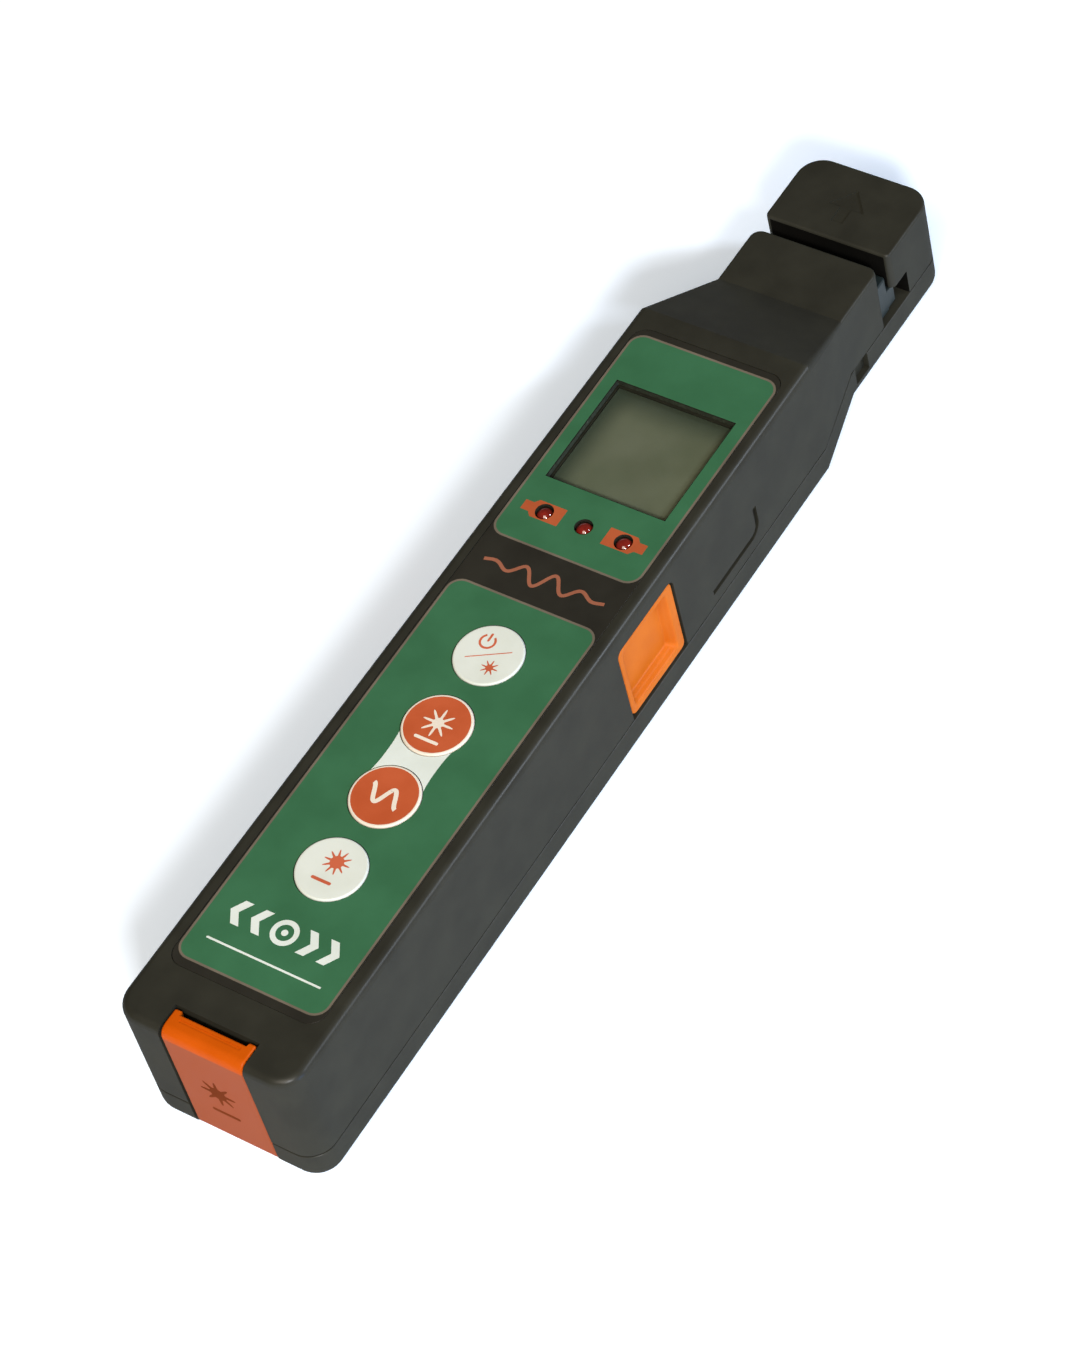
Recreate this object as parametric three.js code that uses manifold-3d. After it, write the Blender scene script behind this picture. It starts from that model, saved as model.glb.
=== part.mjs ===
// Hand-held optical fibre identifier with a built-in visual fault locator.
//
// The instrument lies on its back. +X is its right side, +Y points along its length to the
// clamping head, +Z points up through the keypad. The origin is on the resting plane, under the
// middle of the instrument. All sizes are in millimetres.

import * as THREE from "three";
import { mergeVertices } from "three/addons/utils/BufferGeometryUtils.js";
import Module from "manifold-3d";

const wasm = await Module();
wasm.setup();

// ---------------------------------------------------------------- driving dimensions

const LENGTH = 196;
const REAR = -LENGTH / 2;
const TIP = LENGTH / 2;
const THICKNESS = 27; // back to label
const HALF_WIDTH_REAR = 16.6;
const HALF_WIDTH_FRONT = 16.1; // where the shoulder starts
const SHOULDER_START = 52;
const SHOULDER_END = 67.5;
const NECK_HALF_WIDTH = 11.9;
const NECK_TOP = 19.6;
const NECK_END = 79.8;
const HOOK_START = 82.7; // the fibre slot lies between the neck and the hook
const PARTING = 6.5; // height of the joint between the two shells
const WALL = 1.8;
const GAP = 0.3; // clearance between touching pieces
const TOP_ROUND = 1.4;
const BOTTOM_ROUND = 2.6;
const CORNER = 4.5;
const NECK_CORNER = 2;
const HOOK_ROUND = 0.5;

const LABEL = { half: 13.9, rear: -87, front: 48.3, thick: 0.3, radius: 2.6 };
const DISPLAY = { half: 11.1, rear: 15.5, front: 37.0 };
const LED_Y = 9.1;
const LED_SPACING = 7.4;
const KEY_PITCH = 14.65;
const FIRST_KEY_Y = -62.6;
const KEY_TOP = 27.25;
const KEY_RADIUS = 5.75;
const KEY_HOLE = KEY_RADIUS + GAP;
const KEYS = [
  { name: "key_fault_locator", finish: "keyWhite" },
  { name: "key_wavelength", finish: "keyRed" },
  { name: "key_light", finish: "keyRed" },
  { name: "key_power", finish: "keyWhite" },
];

const BUTTON = { half: 7.9, low: 6.95, high: 23.1, face: 16.1, back: 12.6, flange: 9.0 };

const PIN = { y: -95.6, z: 2.6, radius: 0.8 }; // hinge of the fault locator's cover
const COVER_HALF = 7.45;
const WELL = { half: 9.5, mouth: -92.9, face: -92.6, back: -91.2 }; // behind the cover
const PORT_Z = 13.5; // axis of the fault locator's laser
const ROD_Z = 11.5; // axis of the jaw's pull rod
const JAW = { half: 10.9, stem: 9.75, rear: 72, step: 76.4, front: 82.4, low: 6.9, high: 14.6 };
const JAW_NOSE = { edge: 84, bulge: 2.4 };
const JAW_BAY = { half: 11.2, rear: 73.1, cheek: 78.6, high: 15.1 }; // the side walls end at cheek
const RECESS = { low: 7.0, high: 11.8, depth: 87, bulge: 0.8 };
const DETECTOR = { x: 4.5, z: 9.6, face: 88.2, back: 90.6, radius: 1.5 };
const DETECTOR_BOARD = { half: 8, rear: 90.9, front: 91.8, low: 7.1, high: 15 };

const CELL = { radius: 5.2, length: 44.5, spacing: 11.1, z: 7.3 };
const BAY = { rear: -66.8, front: -16.2 };
const DOOR = { half: 12, rear: -66, front: -17.3, thick: 1.5 };
const BOARD = { half: 13.3, rear: -82, front: 46, low: 19.2, thick: 1.6 };
const CASE_SCREWS = [
  { x: 12, y: -88 },
  { x: 12, y: -12.3 },
  { x: 8.6, y: 60 },
];
const HOOK_SCREW = { x: 5.4, y: 94.1 };
const FLEX = { left: 1.9, right: 5.1, thick: 0.35 }; // ribbon beside the pull rod

// ---------------------------------------------------------------- finishes

const finish = (color, roughness, metalness = 0) => () =>
  new THREE.MeshStandardMaterial({ color, roughness, metalness });

const FINISHES = {
  housing: finish(0x3a3c3c, 0.45),
  label: finish(0x3f7d50, 0.4),
  clear: finish(0xb8c0b4, 0.1),
  orange: finish(0xe87018, 0.42),
  jaw: finish(0x35464a, 0.5),
  keyWhite: finish(0xe4ebe0, 0.4),
  keyRed: finish(0xc45226, 0.4),
  ledRed: finish(0x6a1c14, 0.15),
  glass: finish(0x6d705c, 0.25),
  board: finish(0x1f5a34, 0.5),
  black: finish(0x17181a, 0.5),
  steel: finish(0xb6b8ba, 0.3, 1),
  brass: finish(0xb89a4a, 0.35, 1),
  cell: finish(0x8c8f94, 0.35, 0.6),
  flex: finish(0xa86a22, 0.45),
};

// ---------------------------------------------------------------- solids

// The solid that a closed three.js geometry bounds.
function solid(geometry) {
  const bare = geometry.index ? geometry.toNonIndexed() : geometry.clone();
  bare.deleteAttribute("normal");
  bare.deleteAttribute("uv");
  const merged = mergeVertices(bare, 1e-4);
  return new wasm.Manifold(
    new wasm.Mesh({
      numProp: 3,
      vertProperties: merged.attributes.position.array,
      triVerts: new Uint32Array(merged.index.array),
    }),
  );
}

const union = (...solids) => solids.reduce((whole, piece) => whole.add(piece));
const cut = (whole, ...tools) => tools.reduce((left, tool) => left.subtract(tool), whole);

function box([x0, y0, z0], [x1, y1, z1]) {
  const shape = new THREE.BoxGeometry(x1 - x0, y1 - y0, z1 - z0);
  return solid(shape.translate((x0 + x1) / 2, (y0 + y1) / 2, (z0 + z1) / 2));
}

// A plan outline raised from one height to another, with its edges rounded if asked.
function prismZ(shape, low, high, round = 0, segments = 3) {
  const geometry = new THREE.ExtrudeGeometry(shape, {
    depth: high - low - 2 * round,
    bevelEnabled: round > 0,
    bevelThickness: round,
    bevelSize: round,
    bevelOffset: -round,
    bevelSegments: 3,
    curveSegments: segments,
  });
  return solid(geometry.translate(0, 0, low + round));
}

// A side outline, drawn in Y and Z, carried across from one X to another.
const ACROSS = new THREE.Matrix4().makeBasis(
  new THREE.Vector3(0, 1, 0),
  new THREE.Vector3(0, 0, 1),
  new THREE.Vector3(1, 0, 0),
);

function prismX(shape, x0, x1, segments = 3) {
  const geometry = new THREE.ExtrudeGeometry(shape, {
    depth: x1 - x0,
    bevelEnabled: false,
    curveSegments: segments,
  });
  return solid(geometry.applyMatrix4(ACROSS).translate(x0, 0, 0));
}

function polygon(points) {
  return new THREE.Shape(points.map(([u, v]) => new THREE.Vector2(u, v)));
}

function cylinderZ(x, y, low, high, radius, sides = 20) {
  const geometry = new THREE.CylinderGeometry(radius, radius, high - low, sides);
  return solid(geometry.rotateX(Math.PI / 2).translate(x, y, (low + high) / 2));
}

function cylinderY(x, z, rear, front, radius, sides = 20) {
  const geometry = new THREE.CylinderGeometry(radius, radius, front - rear, sides);
  return solid(geometry.translate(x, (rear + front) / 2, z));
}

function cylinderX(y, z, left, right, radius, sides = 16) {
  const geometry = new THREE.CylinderGeometry(radius, radius, right - left, sides);
  return solid(geometry.rotateZ(Math.PI / 2).translate((left + right) / 2, y, z));
}

// A profile of [radius, height] pairs turned about an upright axis.
function turned(profile, sides = 24) {
  const points = profile.map(([radius, height]) => new THREE.Vector2(radius, height));
  return solid(new THREE.LatheGeometry(points, sides).rotateX(Math.PI / 2));
}

function roundedRectangle(x0, y0, x1, y1, r) {
  const shape = new THREE.Shape();
  shape.moveTo(x0 + r, y0);
  shape.absarc(x1 - r, y0 + r, r, -Math.PI / 2, 0);
  shape.absarc(x1 - r, y1 - r, r, 0, Math.PI / 2);
  shape.absarc(x0 + r, y1 - r, r, Math.PI / 2, Math.PI);
  shape.absarc(x0 + r, y0 + r, r, Math.PI, Math.PI * 1.5);
  return shape;
}

// A coil of round wire about +Y, as one closed tube.
function coil(radius, wire, rear, front, turns, steps = 12) {
  class Helix extends THREE.Curve {
    getPoint(t, target = new THREE.Vector3()) {
      const angle = 2 * Math.PI * turns * t;
      const y = rear + wire + (front - rear - 2 * wire) * t;
      return target.set(radius * Math.cos(angle), y, radius * Math.sin(angle));
    }
  }
  const section = new THREE.Shape();
  section.absarc(0, 0, wire, 0, Math.PI * 2);
  return new THREE.ExtrudeGeometry(section, {
    steps: turns * steps,
    curveSegments: 3,
    extrudePath: new Helix(),
  });
}

function mesh(name, shape, finishName) {
  let geometry = shape;
  if (!shape.isBufferGeometry) {
    const { vertProperties, triVerts } = shape.getMesh();
    geometry = new THREE.BufferGeometry();
    geometry.setAttribute("position", new THREE.BufferAttribute(vertProperties, 3));
    geometry.setIndex(new THREE.BufferAttribute(triVerts, 1));
    geometry.computeVertexNormals();
  }
  const piece = new THREE.Mesh(geometry, FINISHES[finishName]());
  piece.name = name;
  return piece;
}

// ---------------------------------------------------------------- body outlines

// The plan of the instrument, drawn in by inset, up to the given front end.
function planOutline(inset, front, frontRadius) {
  const rearHalf = HALF_WIDTH_REAR - inset;
  const frontHalf = HALF_WIDTH_FRONT - inset;
  const neckHalf = NECK_HALF_WIDTH - inset;
  const rearRadius = CORNER - inset;
  const rear = REAR + inset;
  const shape = new THREE.Shape();
  shape.moveTo(rearRadius - rearHalf, rear);
  shape.absarc(rearHalf - rearRadius, rear + rearRadius, rearRadius, -Math.PI / 2, 0);
  shape.lineTo(frontHalf, SHOULDER_START);
  shape.lineTo(neckHalf, SHOULDER_END);
  shape.absarc(neckHalf - frontRadius, front - frontRadius, frontRadius, 0, Math.PI / 2);
  shape.absarc(frontRadius - neckHalf, front - frontRadius, frontRadius, Math.PI / 2, Math.PI);
  shape.lineTo(-neckHalf, SHOULDER_END);
  shape.lineTo(-frontHalf, SHOULDER_START);
  shape.absarc(rearRadius - rearHalf, rear + rearRadius, rearRadius, Math.PI, Math.PI * 1.5);
  return shape;
}

const both = (make) => union(make(-1), make(1));
const halfWidthAt = (y) =>
  HALF_WIDTH_REAR + ((HALF_WIDTH_FRONT - HALF_WIDTH_REAR) * (y - REAR)) / (SHOULDER_START - REAR);
const mirroredPairs = (points, make) =>
  union(...points.flatMap(({ x, y }) => [make(-x, y), make(x, y)]));

// The room behind the fault locator's cover, open to the rear, top and bottom.
const coverRoom = () =>
  box([-COVER_HALF - GAP, REAR - 1, -1], [COVER_HALF + GAP, WELL.mouth, THICKNESS + 1]);

// ---------------------------------------------------------------- upper shell

// What lies under the label, the shoulder slope and the neck roof, seen from the side.
function upperSideProfile() {
  return polygon([
    [REAR - 1, PARTING + GAP / 2],
    [NECK_END + 1, PARTING + GAP / 2],
    [NECK_END + 1, NECK_TOP],
    [SHOULDER_END, NECK_TOP],
    [SHOULDER_START, THICKNESS],
    [SHOULDER_START, THICKNESS + 1],
    [REAR - 1, THICKNESS + 1],
  ]);
}

function upperRoom() {
  const side = polygon([
    [REAR - 1, 0],
    [NECK_END + 9, 0],
    [NECK_END + 9, JAW_BAY.high],
    [JAW.step, JAW_BAY.high],
    [JAW.step, NECK_TOP - WALL],
    [SHOULDER_END - 0.5, NECK_TOP - WALL],
    [SHOULDER_START - 0.5, THICKNESS - WALL],
    [REAR - 1, THICKNESS - WALL],
  ]);
  const plan = planOutline(WALL, NECK_END + 8, 1.5);
  return prismZ(plan, 0, THICKNESS).intersect(prismX(side, -20, 20));
}

// The narrow L-shaped groove in each side, in front of the side button.
function sideGroove(side) {
  const low = 8.9;
  const bend = 2.7;
  const shape = new THREE.Shape();
  shape.moveTo(17, low);
  shape.absarc(31.6 - bend, low + bend, bend, -Math.PI / 2, 0);
  shape.lineTo(31.6, 15);
  shape.lineTo(31.1, 15);
  shape.lineTo(30.7, low + bend);
  shape.absarc(30.7 - 1.7, low + bend, 1.7, 0, -Math.PI / 2, true);
  shape.lineTo(17, low + 1.0);
  const outside = halfWidthAt(24);
  const [x0, x1] = side > 0 ? [outside - 0.8, outside + 1] : [-outside - 1, 0.8 - outside];
  return prismX(shape, x0, x1, 3);
}

function sideWindow(side) {
  const reach = [9, 20].map((x) => x * side).sort((a, b) => a - b);
  const { half, high } = BUTTON;
  return box([reach[0], -half - GAP, 0], [reach[1], half + GAP, high + GAP]);
}

function rearWell() {
  const { half, face, back } = WELL;
  const block = box([-half, REAR + 1.1, PARTING + GAP / 2], [half, back, THICKNESS - WALL + 0.2]);
  const room = box([-COVER_HALF - GAP, REAR, 0], [COVER_HALF + GAP, face, THICKNESS]);
  return cut(block, room, cylinderY(0, PORT_Z, face - 1, back + 1, 2.75));
}

// The room for the jaw in the neck, and the ends of the neck's side walls.
function jawBay() {
  const { half, rear, cheek, high } = JAW_BAY;
  return union(box([-half, rear, 0], [half, NECK_END + 9, high]), box([-20, cheek, 0], [20, 90, high]));
}

function upperShell() {
  const plan = planOutline(0, NECK_END, NECK_CORNER);
  const outside = prismZ(plan, 0, THICKNESS, TOP_ROUND).intersect(
    prismX(upperSideProfile(), -20, 20),
  );
  const bosses = mirroredPairs(CASE_SCREWS, (x, y) =>
    cylinderZ(x, y, PARTING + GAP / 2, THICKNESS, 2.3, 16),
  );
  const posts = union(bosses.intersect(outside), rearWell());
  const hollow = union(cut(outside, upperRoom()), posts);
  const pilotHoles = mirroredPairs(CASE_SCREWS, (x, y) => cylinderZ(x, y, 0, 13, 1.25, 12));
  const labelSeat = prismZ(
    roundedRectangle(
      -LABEL.half - GAP, LABEL.rear - GAP, LABEL.half + GAP, LABEL.front + GAP, LABEL.radius,
    ),
    THICKNESS - 0.05 - LABEL.thick - GAP,
    THICKNESS + 1,
  );
  const { half, rear, front } = DISPLAY;
  const windowStep = box([-half - GAP, rear - GAP, 25.6], [half + GAP, front + GAP, 28]);
  const windowHole = box([1 - half, rear + 1, 20], [half - 1, front - 1, 28]);
  const ledHoles = union(
    ...[-1, 0, 1].map((i) => cylinderZ(i * LED_SPACING, LED_Y, 20, 28, 1.8, 16)),
  );
  const keyHoles = union(
    ...KEYS.map((_, i) => cylinderZ(0, FIRST_KEY_Y + i * KEY_PITCH, 20, 28, KEY_HOLE, 24)),
  );
  return cut(
    hollow, pilotHoles, labelSeat, windowStep, windowHole, ledHoles, keyHoles,
    both(sideWindow), both(sideGroove), coverRoom(), jawBay(),
  );
}

// ---------------------------------------------------------------- lower shell

function lowerShell() {
  const top = PARTING - GAP / 2;
  const plan = planOutline(0, TIP, CORNER);
  const outside = prismZ(plan, 0, THICKNESS, BOTTOM_ROUND).intersect(
    box([-20, REAR - 1, -1], [20, TIP + 1, top]),
  );
  const room = prismZ(planOutline(WALL, SHOULDER_END + 2, 1.5), WALL, THICKNESS);
  const flexChannel = box([FLEX.left - 0.5, 60, WALL], [FLEX.right + 0.5, 92, THICKNESS]);
  const bosses = mirroredPairs(CASE_SCREWS, (x, y) => cylinderZ(x, y, 1, top, 3.1, 20));
  const inside = COVER_HALF + GAP;
  const cheeks = both((s) =>
    box(
      [Math.min(inside * s, WELL.half * s), -97, 1],
      [Math.max(inside * s, WELL.half * s), WELL.back, top],
    ),
  );
  const bulkhead = box([-WELL.half, WELL.face, 1], [WELL.half, WELL.back, top]);
  const bayWalls = union(
    box([-12.6, BAY.rear - 1.3, 1], [12.6, BAY.rear, 13]),
    box([-12.6, BAY.front, 1], [12.6, BAY.front + 1.3, 13]),
  );
  const springWall = cut(
    box([-5, 12, 1], [5, 13.5, 16]),
    box([-1.9, 11, ROD_Z - 2], [1.9, 14, 17]),
  );
  const fittings = union(bosses, cheeks, bulkhead);
  const body = union(
    cut(outside, room, flexChannel), fittings.intersect(outside), bayWalls, springWall,
  );
  const screwSeats = mirroredPairs(CASE_SCREWS, (x, y) =>
    union(cylinderZ(x, y, -1, 3, 2.35, 20), cylinderZ(x, y, 2, 8, 1.25, 12)),
  );
  const hookSeats = mirroredPairs([HOOK_SCREW], (x, y) =>
    union(cylinderZ(x, y, -1, 2.6, 1.85, 16), cylinderZ(x, y, 2, 8, 1.2, 12)),
  );
  const doorway = box([-DOOR.half - GAP, DOOR.rear - GAP, -1], [DOOR.half + GAP, DOOR.front + GAP, 3]);
  const pryNotches = both((s) =>
    box([Math.min(10.8 * s, 13 * s), 68.6, 2.8], [Math.max(10.8 * s, 13 * s), 72.6, 8]),
  );
  const pinHole = cylinderX(PIN.y, PIN.z, -9.2, 9.2, PIN.radius + GAP);
  return cut(
    body, screwSeats, hookSeats, doorway, pryNotches, pinHole, coverRoom(),
  );
}

// ---------------------------------------------------------------- hook and jaw

const bowed = (x, half, edge, bulge) => edge + bulge * (1 - (x / half) ** 2);

function bowPoints(half, edge, bulge, count = 12) {
  return Array.from({ length: count + 1 }, (_, i) => {
    const x = half - (2 * half * i) / count;
    return [x, bowed(x, half, edge, bulge)];
  });
}

function headHook() {
  const half = NECK_HALF_WIDTH;
  const plan = new THREE.Shape();
  plan.moveTo(1 - half, HOOK_START);
  plan.absarc(half - 1, HOOK_START + 1, 1, -Math.PI / 2, 0);
  plan.absarc(half - CORNER, TIP - CORNER, CORNER, 0, Math.PI / 2);
  plan.absarc(CORNER - half, TIP - CORNER, CORNER, Math.PI / 2, Math.PI);
  plan.absarc(1 - half, HOOK_START + 1, 1, Math.PI, Math.PI * 1.5);
  const outside = prismZ(plan, 0, NECK_TOP, HOOK_ROUND).intersect(
    box([-13, 80, PARTING + GAP / 2], [13, 99, 30]),
  );
  const { low, high, depth, bulge } = RECESS;
  const recess = prismZ(
    polygon([[-13, 80], [13, 80], [13, depth], ...bowPoints(9, depth, bulge), [-13, depth]]),
    low - 1,
    high,
  );
  const room = DETECTOR_BOARD.half + 0.4;
  const detectorRoom = box([-room, 89.2, 0], [room, DETECTOR_BOARD.front + GAP, DETECTOR_BOARD.high + 0.4]);
  const detectorPorts = both((s) =>
    cylinderY(DETECTOR.x * s, DETECTOR.z, depth - 1, 90, DETECTOR.radius + 0.4, 16),
  );
  const pilotHoles = mirroredPairs([HOOK_SCREW], (x, y) => cylinderZ(x, y, 0, 12, 1.2, 12));
  const arrow = prismZ(
    polygon([[-1.1, 86.2], [1.1, 86.2], [1.1, 89.4], [3.4, 89.4], [0, 93.6], [-3.4, 89.4], [-1.1, 89.4]]),
    NECK_TOP - 0.25,
    NECK_TOP + 1,
  );
  return cut(outside, recess, detectorRoom, detectorPorts, pilotHoles, arrow);
}

function clampJaw() {
  const { half, stem, rear, step, front, low, high } = JAW;
  const block = prismZ(roundedRectangle(-half, step, half, front, 0.6), low, high, 0, 3);
  const tail = box([-stem, rear, low], [stem, step + 1, high]);
  const nose = prismZ(
    polygon([[-half, front - 2], [half, front - 2], ...bowPoints(half, JAW_NOSE.edge, JAW_NOSE.bulge)]),
    RECESS.low + 0.4,
    RECESS.high - 0.4,
  );
  return cut(union(block, tail, nose), cylinderY(0, ROD_Z, rear - 1, rear + 4, 1.8, 16));
}

// ---------------------------------------------------------------- side buttons and carriage

const WEDGE_SUM = 2; // on the carriage's slanted face, x + y has this value

// One side button, made for the right side.
function sideButton() {
  const { half, low, high, face, back, flange } = BUTTON;
  const plate = prismX(roundedRectangle(-half, low, half, high, 1.2), back, face, 3);
  const lip = box([12.9, -flange, low], [14.1, flange, high + 0.8]);
  const dish = solid(
    new THREE.ExtrudeGeometry(polygon([[-5.6, 9.6], [5.0, 9.6], [5.0, 20.8], [-5.6, 20.8]]), {
      depth: 0.01,
      bevelThickness: 1.9,
      bevelSize: 1.3,
      bevelSegments: 1,
    })
      .applyMatrix4(ACROSS)
      .translate(face + 0.1, 0, 0),
  );
  const face45 = WEDGE_SUM + 2 * GAP;
  const wedge = prismZ(
    polygon([[12.7, -6.5], [12.7, 4.5], [5.6, 4.5], [5.6, face45 - 5.6], [face45 + 6.5, -6.5]]),
    ROD_Z - 2.5,
    ROD_Z + 4.5,
  );
  return cut(plate.add(lip), dish).add(wedge);
}

function slideCarriage() {
  const neck = 1.9;
  const wide = 8;
  const plan = polygon([
    [-wide, -9], [wide, -9], [wide, WEDGE_SUM - wide], [neck, WEDGE_SUM - neck],
    [neck, 3], [-neck, 3], [-neck, WEDGE_SUM - neck], [-wide, WEDGE_SUM - wide],
  ]);
  return prismZ(plan, ROD_Z - 3.2, ROD_Z + 3.5);
}

// ---------------------------------------------------------------- fault locator

function faultCover() {
  const reach = 2.3;
  const inner = -96.2;
  const shape = new THREE.Shape();
  shape.moveTo(PIN.y - reach, PIN.z);
  shape.absarc(PIN.y, PIN.z, reach, Math.PI, Math.PI * 2);
  shape.absarc(PIN.y, PIN.z, reach, 0, Math.PI * 0.42);
  shape.lineTo(inner, PIN.z + 3.2);
  shape.lineTo(inner, 25.2);
  shape.lineTo(-93.4, 25.2);
  shape.lineTo(-93.4, 26.5);
  shape.lineTo(-93.9, THICKNESS);
  shape.lineTo(-96.1, THICKNESS);
  shape.absarc(-96.1, THICKNESS - 1.8, 1.8, Math.PI / 2, Math.PI);
  const pinHole = cylinderX(PIN.y, PIN.z, -10, 10, PIN.radius + GAP);
  return cut(prismX(shape, -COVER_HALF, COVER_HALF, 4), pinHole);
}

function faultPort() {
  const flange = 5.1;
  const nose = 9.6;
  return turned([
    [0, 0], [4.2, 0], [4.2, flange], [2.4, flange], [2.4, nose], [1.28, nose], [1.28, 4.5], [0, 4.5],
  ])
    .rotate([90, 0, 0])
    .translate([0, -85.8, PORT_Z]);
}

// ---------------------------------------------------------------- electronics

function mainBoard() {
  const { half, rear, front, low, thick } = BOARD;
  const blank = box([-half, rear, low], [half, front, low + thick]);
  const buttonRoom = both((s) =>
    box([Math.min(9.2 * s, 15 * s), -9.6, 0], [Math.max(9.2 * s, 15 * s), 9.6, 30]),
  );
  const bossRoom = mirroredPairs(CASE_SCREWS, (x, y) =>
    box([Math.min(x - 2.7 * Math.sign(x), 16 * Math.sign(x)), y - 2.7, 0],
      [Math.max(x - 2.7 * Math.sign(x), 16 * Math.sign(x)), y + 2.7, 30]),
  );
  return cut(blank, buttonRoom, bossRoom);
}

// A key, its hidden rim and its stem, about its own axis; the top is at the key's height.
function keyCap() {
  const radius = KEY_RADIUS;
  const rimTop = THICKNESS - WALL - GAP;
  return turned([
    [0, 23.3], [1.8, 23.3], [1.8, 24], [6.7, 24], [6.7, rimTop], [radius, rimTop],
    [radius, KEY_TOP - 0.25], [radius - 0.25, KEY_TOP], [0, KEY_TOP],
  ], 24);
}

function led() {
  const dome = Array.from({ length: 5 }, (_, i) => {
    const angle = (Math.PI / 8) * i;
    return [1.5 * Math.cos(angle), 25.6 + 1.5 * Math.sin(angle)];
  });
  dome[4][0] = 0;
  return turned([[0, 21.1], [1.9, 21.1], [1.9, 22], [1.5, 22], ...dome], 12);
}

// The ribbon that runs under the jaw from the main board to the detectors.
function detectorFlex() {
  const t = FLEX.thick;
  const path = [[44, 18.3], [47.5, 18.3], [57, 4], [90.2, 4], [90.2, 6.6]];
  const back = [[90.2 + t, 6.6], [90.2 + t, 4 - t], [56.8, 4 - t], [47.3, 18.3 - t], [44, 18.3 - t]];
  return prismX(polygon([...path, ...back].reverse()), FLEX.left, FLEX.right);
}

// ---------------------------------------------------------------- power

function cell() {
  const { radius, length } = CELL;
  return turned([
    [0, 0], [radius - 0.4, 0], [radius, 0.4], [radius, length - 1.6], [radius - 0.6, length - 1],
    [1.9, length - 1], [1.9, length], [0, length],
  ]);
}

function batteryDoor() {
  const { half, rear, front, thick } = DOOR;
  const plate = box([-half, rear, 0], [half, front, thick]);
  const tabs = both((s) =>
    box([Math.min(10.4 * s, 11.9 * s), front - 2.5, 1], [Math.max(10.4 * s, 11.9 * s), front - 0.6, 3]),
  );
  const tongues = both((s) =>
    box([Math.min(10.4 * s, 11.9 * s), front - 2.5, 2.2], [Math.max(10.4 * s, 11.9 * s), front + 0.9, 3]),
  );
  const catchFinger = box([-3, rear, 1], [3, rear + 0.8, 4]);
  const grips = union(
    ...[0, 1, 2, 3].map((i) => box([-5, rear + 4 + i * 2, -1], [5, rear + 4.8 + i * 2, 0.35])),
  );
  return cut(union(plate, tabs, tongues, catchFinger), grips);
}

// ---------------------------------------------------------------- fasteners and other small pieces

// A pan-head screw that points up, with its head at the bottom and a cross recess.
function screw(headRadius, shankRadius, length) {
  const body = turned([
    [0, 0], [headRadius - 0.3, 0], [headRadius, 0.3], [headRadius, 1.6], [shankRadius, 1.6],
    [shankRadius, length], [0, length],
  ], 10);
  const slot = headRadius * 0.6;
  return cut(body, box([-slot, -0.25, -1], [slot, 0.25, 0.7]), box([-0.25, -slot, -1], [0.25, slot, 0.7]));
}

function placed(piece, x, y, z) {
  piece.position.set(x, y, z);
  return piece;
}

function along(piece, x, y, z, turn) {
  piece.rotation.x = turn;
  return placed(piece, x, y, z);
}

// ---------------------------------------------------------------- assembly

const instrument = new THREE.Group();

const housing = new THREE.Group();
housing.add(mesh("upper_shell", upperShell(), "housing"));
housing.add(mesh("lower_shell", lowerShell(), "housing"));
housing.add(mesh("head_hook", headHook(), "housing"));
const screwNames = ["rear", "middle", "front"];
CASE_SCREWS.forEach(({ x, y }, i) => {
  const body = screw(2.05, 0.95, 11);
  housing.add(placed(mesh(`case_screw_${screwNames[i]}_left`, body, "steel"), -x, y, 1.1));
  housing.add(placed(mesh(`case_screw_${screwNames[i]}_right`, body, "steel"), x, y, 1.1));
});
["left", "right"].forEach((side, i) => {
  const x = HOOK_SCREW.x * (2 * i - 1);
  housing.add(placed(mesh(`hook_screw_${side}`, screw(1.55, 0.9, 10), "steel"), x, HOOK_SCREW.y, 0.7));
});
instrument.add(housing);

const panel = new THREE.Group();
const labelTop = THICKNESS - 0.05;
const labelCuts = [
  ...KEYS.map((_, i) => cylinderZ(0, FIRST_KEY_Y + i * KEY_PITCH, 20, 28, KEY_HOLE, 24)),
  ...[-1, 0, 1].map((i) => cylinderZ(i * LED_SPACING, LED_Y, 20, 28, 1.8, 16)),
  box(
    [-DISPLAY.half - GAP, DISPLAY.rear - GAP, 20],
    [DISPLAY.half + GAP, DISPLAY.front + GAP, 28],
  ),
];
const labelSheet = prismZ(
  roundedRectangle(-LABEL.half, LABEL.rear, LABEL.half, LABEL.front, LABEL.radius),
  labelTop - LABEL.thick,
  labelTop,
);
panel.add(mesh("panel_label", cut(labelSheet, ...labelCuts), "label"));
panel.add(mesh("display_window",
  box([-DISPLAY.half, DISPLAY.rear, 25.9], [DISPLAY.half, DISPLAY.front, labelTop]), "clear"));
KEYS.forEach(({ name, finish: keyFinish }, i) => {
  panel.add(placed(mesh(name, keyCap(), keyFinish), 0, FIRST_KEY_Y + i * KEY_PITCH, 0));
});
["left", "middle", "right"].forEach((side, i) => {
  panel.add(placed(mesh(`led_${side}`, led(), "ledRed"), (i - 1) * LED_SPACING, LED_Y, 0));
});
instrument.add(panel);

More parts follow.
